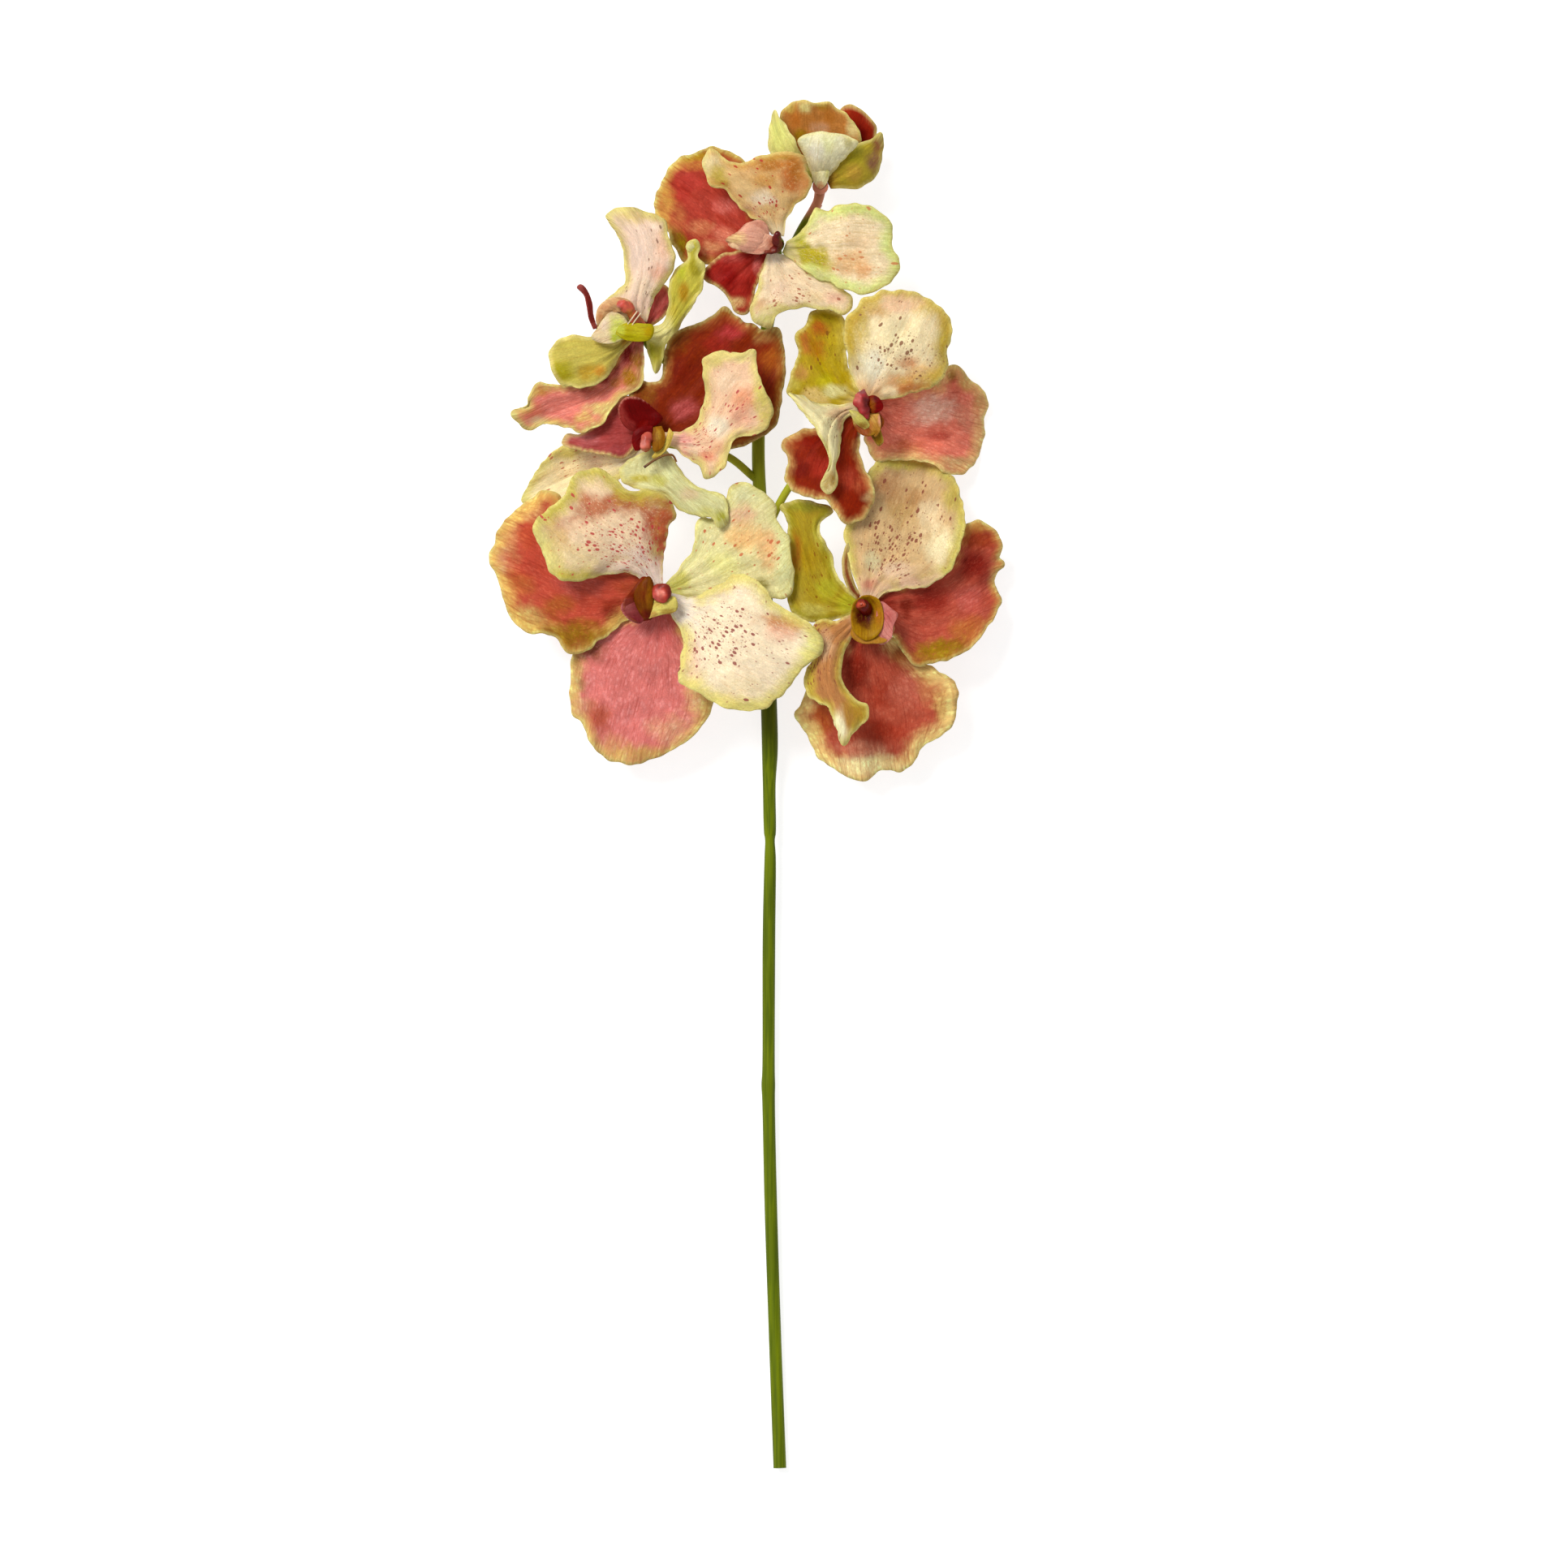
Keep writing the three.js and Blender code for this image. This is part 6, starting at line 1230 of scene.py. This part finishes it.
class Skin:
    """A new material, with short ways to add nodes to it and to join them."""

    def __init__(self, name):
        self.material = bpy.data.materials.new(name)
        self.material.use_nodes = True
        self.tree = self.material.node_tree
        self.surface = self.tree.nodes["Principled BSDF"]

    def feed(self, node, inputs):
        """Sets a node's inputs, each to a value or to another node's output."""
        for socket, value in inputs.items():
            if isinstance(value, bpy.types.NodeSocket):
                self.tree.links.new(value, node.inputs[socket])
            else:
                node.inputs[socket].default_value = value
        return node

    def add(self, kind, inputs):
        return self.feed(self.tree.nodes.new(kind), inputs)

    def finish(self, inputs):
        """Sets the surface's inputs and gives the finished material."""
        self.feed(self.surface, inputs)
        return self.material

    def own_place(self):
        return self.add("ShaderNodeTexCoord", {}).outputs["Object"]

    def attribute(self, name, output="Color"):
        node = self.add("ShaderNodeAttribute", {})
        node.attribute_name = name
        return node.outputs[output]

    def scaled(self, vector, scale):
        return self.add("ShaderNodeMapping", {"Vector": vector, "Scale": scale}).outputs["Vector"]

    def noise(self, vector, scale=1, detail=3, roughness=0.55, distortion=0.0):
        inputs = {"Vector": vector, "Scale": scale, "Detail": detail}
        inputs.update({"Roughness": roughness, "Distortion": distortion})
        return self.add("ShaderNodeTexNoise", inputs).outputs["Fac"]

    def cells(self, vector, randomness=1.0):
        inputs = {"Vector": vector, "Scale": 1, "Randomness": randomness}
        return self.add("ShaderNodeTexVoronoi", inputs).outputs

    def remap(self, value, low, high, to_low=0.0, to_high=1.0):
        inputs = {"Value": value, "From Min": low, "From Max": high, "To Min": to_low, "To Max": to_high}
        node = self.add("ShaderNodeMapRange", inputs)
        node.interpolation_type = "SMOOTHSTEP"
        return node.outputs["Result"]

    def maths(self, operation, first, second=0.0):
        node = self.add("ShaderNodeMath", {0: first, 1: second})
        node.operation = operation
        return node.outputs["Value"]

    def product(self, *factors):
        first, *others = factors
        for factor in others:
            first = self.maths("MULTIPLY", first, factor)
        return first

    def band(self, value, rise, full, fade, gone):
        """1 from full to fade, and 0 below rise and above gone."""
        return self.product(self.remap(value, rise, full), self.remap(value, gone, fade))

    def blended(self, share, under, over, blend="MIX"):
        """Two colours mixed or multiplied. A tuple is an eight-bit screen colour."""
        light_of = plain_linear if blend == "MULTIPLY" else linear
        inputs = {MIX_SHARE: share}
        for socket, value in ((MIX_UNDER, under), (MIX_OVER, over)):
            inputs[socket] = (*light_of(value), 1) if isinstance(value, tuple) else value
        node = self.tree.nodes.new("ShaderNodeMix")
        node.data_type = "RGBA"
        node.blend_type = blend
        return self.feed(node, inputs).outputs[MIX_RESULT]

    def speckled(self, colour, flow, scale, reach, strength):
        """Round dots of the spot colour, of mixed sizes, thickest where the blade's dots are."""
        spots = self.cells(self.scaled(flow, scale), 0.9)
        draws = self.add("ShaderNodeSeparateColor", {"Color": spots["Color"]}).outputs
        chosen = self.maths("LESS_THAN", draws["Red"], self.attribute("dots", "Fac"))
        radius = self.remap(draws["Green"], 0.0, 1.0, reach * 0.5, reach)
        inside = self.remap(self.maths("SUBTRACT", spots["Distance"], radius), -0.05, 0.06, 1.0, 0.0)
        return self.blended(self.product(inside, chosen, strength), colour, self.attribute("spot"))

    def bumps(self, height, distance, strength):
        inputs = {"Height": height, "Distance": distance, "Strength": strength}
        return self.add("ShaderNodeBump", inputs).outputs["Normal"]


def blade_material(look):
    """Petal skin: the painted tint, a margin with a ragged border, faint veins along the growth,
    rows of paler flecks, a watery mottling and dots."""
    skin = Skin(look.name)
    flow = skin.attribute("flow", "Vector")
    specks = skin.noise(skin.scaled(flow, SPECKS), detail=6, roughness=0.85)
    share = skin.remap(specks, 0.5, 0.64, 0.0, SPECK_SHARE)
    colour = skin.blended(share, skin.attribute("tint"), skin.attribute("core"))
    mottling = skin.noise(skin.scaled(flow, MOTTLING), detail=6, roughness=0.68)
    grain = skin.noise(skin.scaled(flow, GRAIN), detail=4, roughness=0.75)
    border = skin.maths("ADD", skin.attribute("margin", "Fac"), skin.product(mottling, 1.3))
    border = skin.maths("ADD", border, skin.product(grain, 0.6))
    share = skin.product(skin.remap(border, 1.0, 2.1, 1.0, 0.0), 0.92)
    colour = skin.blended(share, colour, skin.attribute("edge"))
    # The pale edge line, partly the petal's own rim colour and partly a painted highlight.
    colour = skin.blended(skin.attribute("line", "Fac"), colour, EDGE_TINT_AND_HIGHLIGHT)
    streaks = skin.noise(skin.scaled(flow, STREAKS), detail=4, distortion=0.9)
    share = skin.product(skin.remap(streaks, 0.48, 0.7), look.streak_share)
    colour = skin.blended(share, colour, look.streak, "MULTIPLY")
    flecks = skin.remap(skin.cells(skin.scaled(flow, FLECKS))["Distance"], 0.1, 0.62, 1.0, 0.0)
    patches = skin.remap(skin.noise(skin.scaled(flow, FLECK_PATCHES)), 0.3, 0.55)
    colour = skin.blended(skin.product(flecks, patches, look.fleck_share), colour, look.fleck, "MULTIPLY")
    shade = skin.remap(mottling, 0.3, 0.7, 1.12 * look.lift, 0.86 * look.lift)
    colour = skin.blended(1.0, colour, shade, "MULTIPLY")
    colour = skin.blended(1.0, colour, skin.remap(grain, 0.3, 0.7, 0.86, 1.12), "MULTIPLY")
    colour = skin.speckled(colour, flow, LARGE_SPOTS, 0.4, 0.9)
    colour = skin.speckled(colour, flow, SMALL_SPOTS, 0.36, 0.6)
    height = skin.maths("ADD", skin.product(streaks, 0.4), skin.product(grain, 0.4))
    height = skin.maths("ADD", height, skin.product(flecks, 0.2))
    return skin.finish({
        "Base Color": colour,
        "Roughness": skin.remap(mottling, 0.3, 0.7, look.roughness - 0.06, look.roughness + 0.08),
        "Specular IOR Level": 0.06,
        "Subsurface Weight": 0.1,
        "Subsurface Radius": PETAL_DEPTH,
        "Subsurface Scale": 1.0,
        "Normal": skin.bumps(height, 0.0005, 0.4),
    })


def column_material():
    """The waxy skin of a column: its painted tint, blotched and finely pitted."""
    skin = Skin("column_wax")
    blotches = skin.noise(skin.own_place(), 420, detail=4)
    shade = skin.remap(blotches, 0.35, 0.65, 0.8, 1.12)
    return skin.finish({
        "Base Color": skin.blended(1.0, skin.attribute("tint"), shade, "MULTIPLY"),
        "Roughness": skin.remap(blotches, 0.3, 0.7, 0.32, 0.5),
        "Specular IOR Level": 0.25,
        "Subsurface Weight": 0.15,
        "Subsurface Radius": WAX_DEPTH,
        "Subsurface Scale": 1.0,
        "Normal": skin.bumps(blotches, 0.0003, 0.3),
    })


def stem_material():
    """Green skin with fine lines along it, with painted shade among the lowest blooms, and paler stalks
    above.
    """
    skin = Skin("stem_green")
    place = skin.own_place()
    apart = skin.add("ShaderNodeSeparateXYZ", {"Vector": place}).outputs
    lines = skin.noise(skin.scaled(place, STEM_LINES), detail=4)
    blotches = skin.noise(skin.scaled(place, STEM_BLOTCHES), detail=5)
    colour = skin.blended(skin.remap(lines, 0.35, 0.65), *STEM_GREENS)
    colour = skin.blended(skin.product(skin.remap(blotches, 0.45, 0.7), 0.5), colour, STEM_BLOTCH)
    # Painted shade: the stem is darkened where it runs among the lowest blooms.
    shaded = skin.product(skin.band(apart["Y"], 0.0, 0.035, 0.06, 0.09), 0.55)
    colour = skin.blended(shaded, colour, STEM_SHADED)
    beside = skin.maths("ABSOLUTE", skin.maths("SUBTRACT", apart["X"], 0.005))
    stalks = skin.remap(beside, 0.0035, 0.0055, 0.4, 0.9)
    pale = skin.product(skin.band(apart["Y"], 0.09, 0.11, 0.175, 0.19), stalks)
    colour = skin.blended(pale, colour, STALK_GREEN)
    pink = skin.blended(skin.remap(blotches, 0.35, 0.65), *BUD_STALK_PINKS)
    return skin.finish({
        "Base Color": skin.blended(skin.remap(apart["Y"], 0.243, 0.249), colour, pink),
        "Roughness": skin.remap(blotches, 0.3, 0.7, 0.42, 0.6),
        "Specular IOR Level": 0.08,
        "Normal": skin.bumps(lines, 0.0003, 0.5),
    })


def select_only(*pieces):
    bpy.ops.object.select_all(action="DESELECT")
    for piece in pieces:
        piece.select_set(True)
    bpy.context.view_layer.objects.active = pieces[0]


def new_tube(name, path, steps):
    """A round tube through points [x, y, z, radius], with its ends capped."""
    points = curve_through(path, steps)
    curve = bpy.data.curves.new(name, "CURVE")
    curve.dimensions = "3D"
    curve.bevel_depth = MM
    curve.bevel_resolution = 6
    curve.use_fill_caps = True
    line = curve.splines.new("POLY")
    line.points.add(len(points) - 1)
    for point, (*place, radius) in zip(line.points, points):
        point.co = (*placed(place), 1)
        point.radius = radius
    tube = bpy.data.objects.new(name, curve)
    bpy.context.collection.objects.link(tube)
    select_only(tube)
    bpy.ops.object.convert(target="MESH")
    bpy.ops.object.shade_smooth_by_angle(angle=math.radians(50))
    return bpy.context.object


def join(name, pieces):
    select_only(*pieces)
    bpy.ops.object.join()
    made = bpy.context.object
    made.name = name
    made.data.name = name
    return made


slots = {entry["node"]: entry["material_slot"] for entry in frame["record"]["subparts"]}
skins = {slot: blade_material(look) for slot, look in LOOKS.items()}
skins["column"] = column_material()
skins["bud"] = skins["green_sepal"]
skins["stem"] = stem_material()


def finish_piece(piece, node, material=None):
    """Dresses a piece in its node's own material, or in another one, and hands it over."""
    piece.data.materials.clear()
    piece.data.materials.append(material or skins[slots[node]])
    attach(piece, "root")
    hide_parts(node)


def make_stem():
    tubes = [new_tube("stem_main", STEM_PATH, 10)]
    for bloom, stalk in STALKS.items():
        x, y, z = HEARTS[bloom]
        path = [[*point, STALK_RADIUS] for point in stalk]
        path.append([x, y, z + STALK_END, STALK_RADIUS * STALK_SWELL])
        tubes.append(new_tube(f"{bloom}_stalk", path, 10))
    tubes.append(new_tube("bud_stalk", BUD_STALK, 10))
    for x, y, z in HEARTS.values():
        bottom = [x, y, z - KNOB_DEPTH, KNOB_RADIUS * KNOB_TAPER]
        knob = [bottom, [x, y, z - KNOB_NECK, KNOB_RADIUS], [x, y, z + KNOB_TOP, KNOB_RADIUS]]
        tubes.append(new_tube("knob", knob, 4))
    finish_piece(join("stem_dressed", tubes), "stem")


def paint_tube(tube, name, heart, bumps, seed):
    """Paints a tube and gives its skin small bumps."""
    points = vertex_values(tube, "co") / MM - FRAME_SHIFT
    add_attribute(tube, "tint", tint(points, PAINT[name], heart, loosened(points, seed)), 4)
    places = [Vector(point / BUMP_LENGTH) + Vector((0, 0, seed)) for point in points]
    height = np.array([noise.noise(place) for place in places]) * bumps
    moved = points + vertex_values(tube, "normal") * height[:, None]
    tube.data.vertices.foreach_set("co", placed(moved).ravel())


def make_column(bloom, heart, seed):
    """The column: a short post with a swollen cap, which leans over the lip."""
    column = new_tube(f"{bloom}_column_dressed", COLUMNS[bloom], 6)
    if bloom == "bloom_f":
        column = join(column.name, [column, new_tube("hook", HOOK, 6)])
    paint_tube(column, f"{bloom}_column", heart, COLUMN_BUMPS, seed)
    finish_piece(column, f"{bloom}_column")


def make_threads(bloom, heart, seed):
    """Thin threads that lie across a heart."""
    for number, path in enumerate(THREADS.get(bloom, [])):
        thread = new_tube(f"{bloom}_thread_{number + 1}", path, 8)
        paint_tube(thread, f"{bloom}_threads", heart, 0, seed)
        finish_piece(thread, f"{bloom}_lip", skins["column"])


def own(table, bloom):
    """The rows of a table that belong to a bloom or to the bud."""
    return [(name, row) for name, row in table.items() if name.startswith(bloom)]


seed = 1
for bloom, heart in HEARTS.items():
    for node, blade in own(BLADES, bloom):
        thickness = LIP_THICKNESS if slots[node] == "lip" else PETAL_THICKNESS
        size = RELIEF_SHARES.get(slots[node], 1.0)
        finish_piece(make_blade(node, heart, blade, thickness, size, seed), node)
        seed += 1
    carrier, size = ("bud_front_sepal", BASE_RELIEF) if bloom == "bud" else (f"{bloom}_lip", LOBE_RELIEF)
    for name, lobe in own(LOBES, bloom):
        finish_piece(make_blade(name, heart, lobe, LOBE_THICKNESS, size, seed), carrier)
        seed += 1
    if bloom in COLUMNS:
        make_column(bloom, heart, seed)
        make_threads(bloom, heart, seed)
for node, curl in CURLS.items():
    blade = make_blade(f"{node}_curl", HEARTS[node[:7]], curl, PETAL_THICKNESS, CURL_RELIEF, seed)
    finish_piece(blade, node, skins["green_sepal"])
    seed += 1
make_stem()


def make_floor():
    bpy.ops.mesh.primitive_plane_add(size=6, location=(0, 0, FLOOR_LEVEL))
    floor = bpy.context.object
    floor.name = "floor"
    skin = Skin("floor_white")
    shade = skin.remap(skin.noise(skin.own_place(), 60), 0.3, 0.7, 0.4, 0.44)
    material = skin.finish({
        "Base Color": skin.blended(1.0, (255, 255, 255), shade, "MULTIPLY"),
        "Roughness": 0.9,
        "Emission Color": (1, 1, 1, 1),
        "Emission Strength": FLOOR_GLOW,
    })
    floor.data.materials.append(material)


def make_lights():
    world = bpy.data.worlds.new("studio")
    world.use_nodes = True
    world.node_tree.nodes["Background"].inputs["Color"].default_value = (1, 1, 1, 1)
    world.node_tree.nodes["Background"].inputs["Strength"].default_value = SKY_STRENGTH
    bpy.context.scene.world = world
    sun = bpy.data.lights.new("key", "SUN")
    sun.energy = SUN_STRENGTH
    sun.angle = math.radians(25)
    key = bpy.data.objects.new("key", sun)
    key.rotation_euler = Vector(SUN_FROM).to_track_quat("Z", "Y").to_euler()
    bpy.context.collection.objects.link(key)


def make_camera():
    data = bpy.data.cameras.new("camera")
    data.sensor_width = SENSOR_WIDTH
    data.lens = SENSOR_WIDTH * (CAMERA_HEIGHT - FLOWER_HEIGHT) / VIEW_WIDTH
    data.clip_end = 100
    camera = bpy.data.objects.new("camera", data)
    camera.location = placed([*VIEW_CENTRE, CAMERA_HEIGHT])
    bpy.context.collection.objects.link(camera)
    bpy.context.scene.camera = camera


make_floor()
make_lights()
make_camera()
bpy.context.scene.view_settings.view_transform = "Standard"
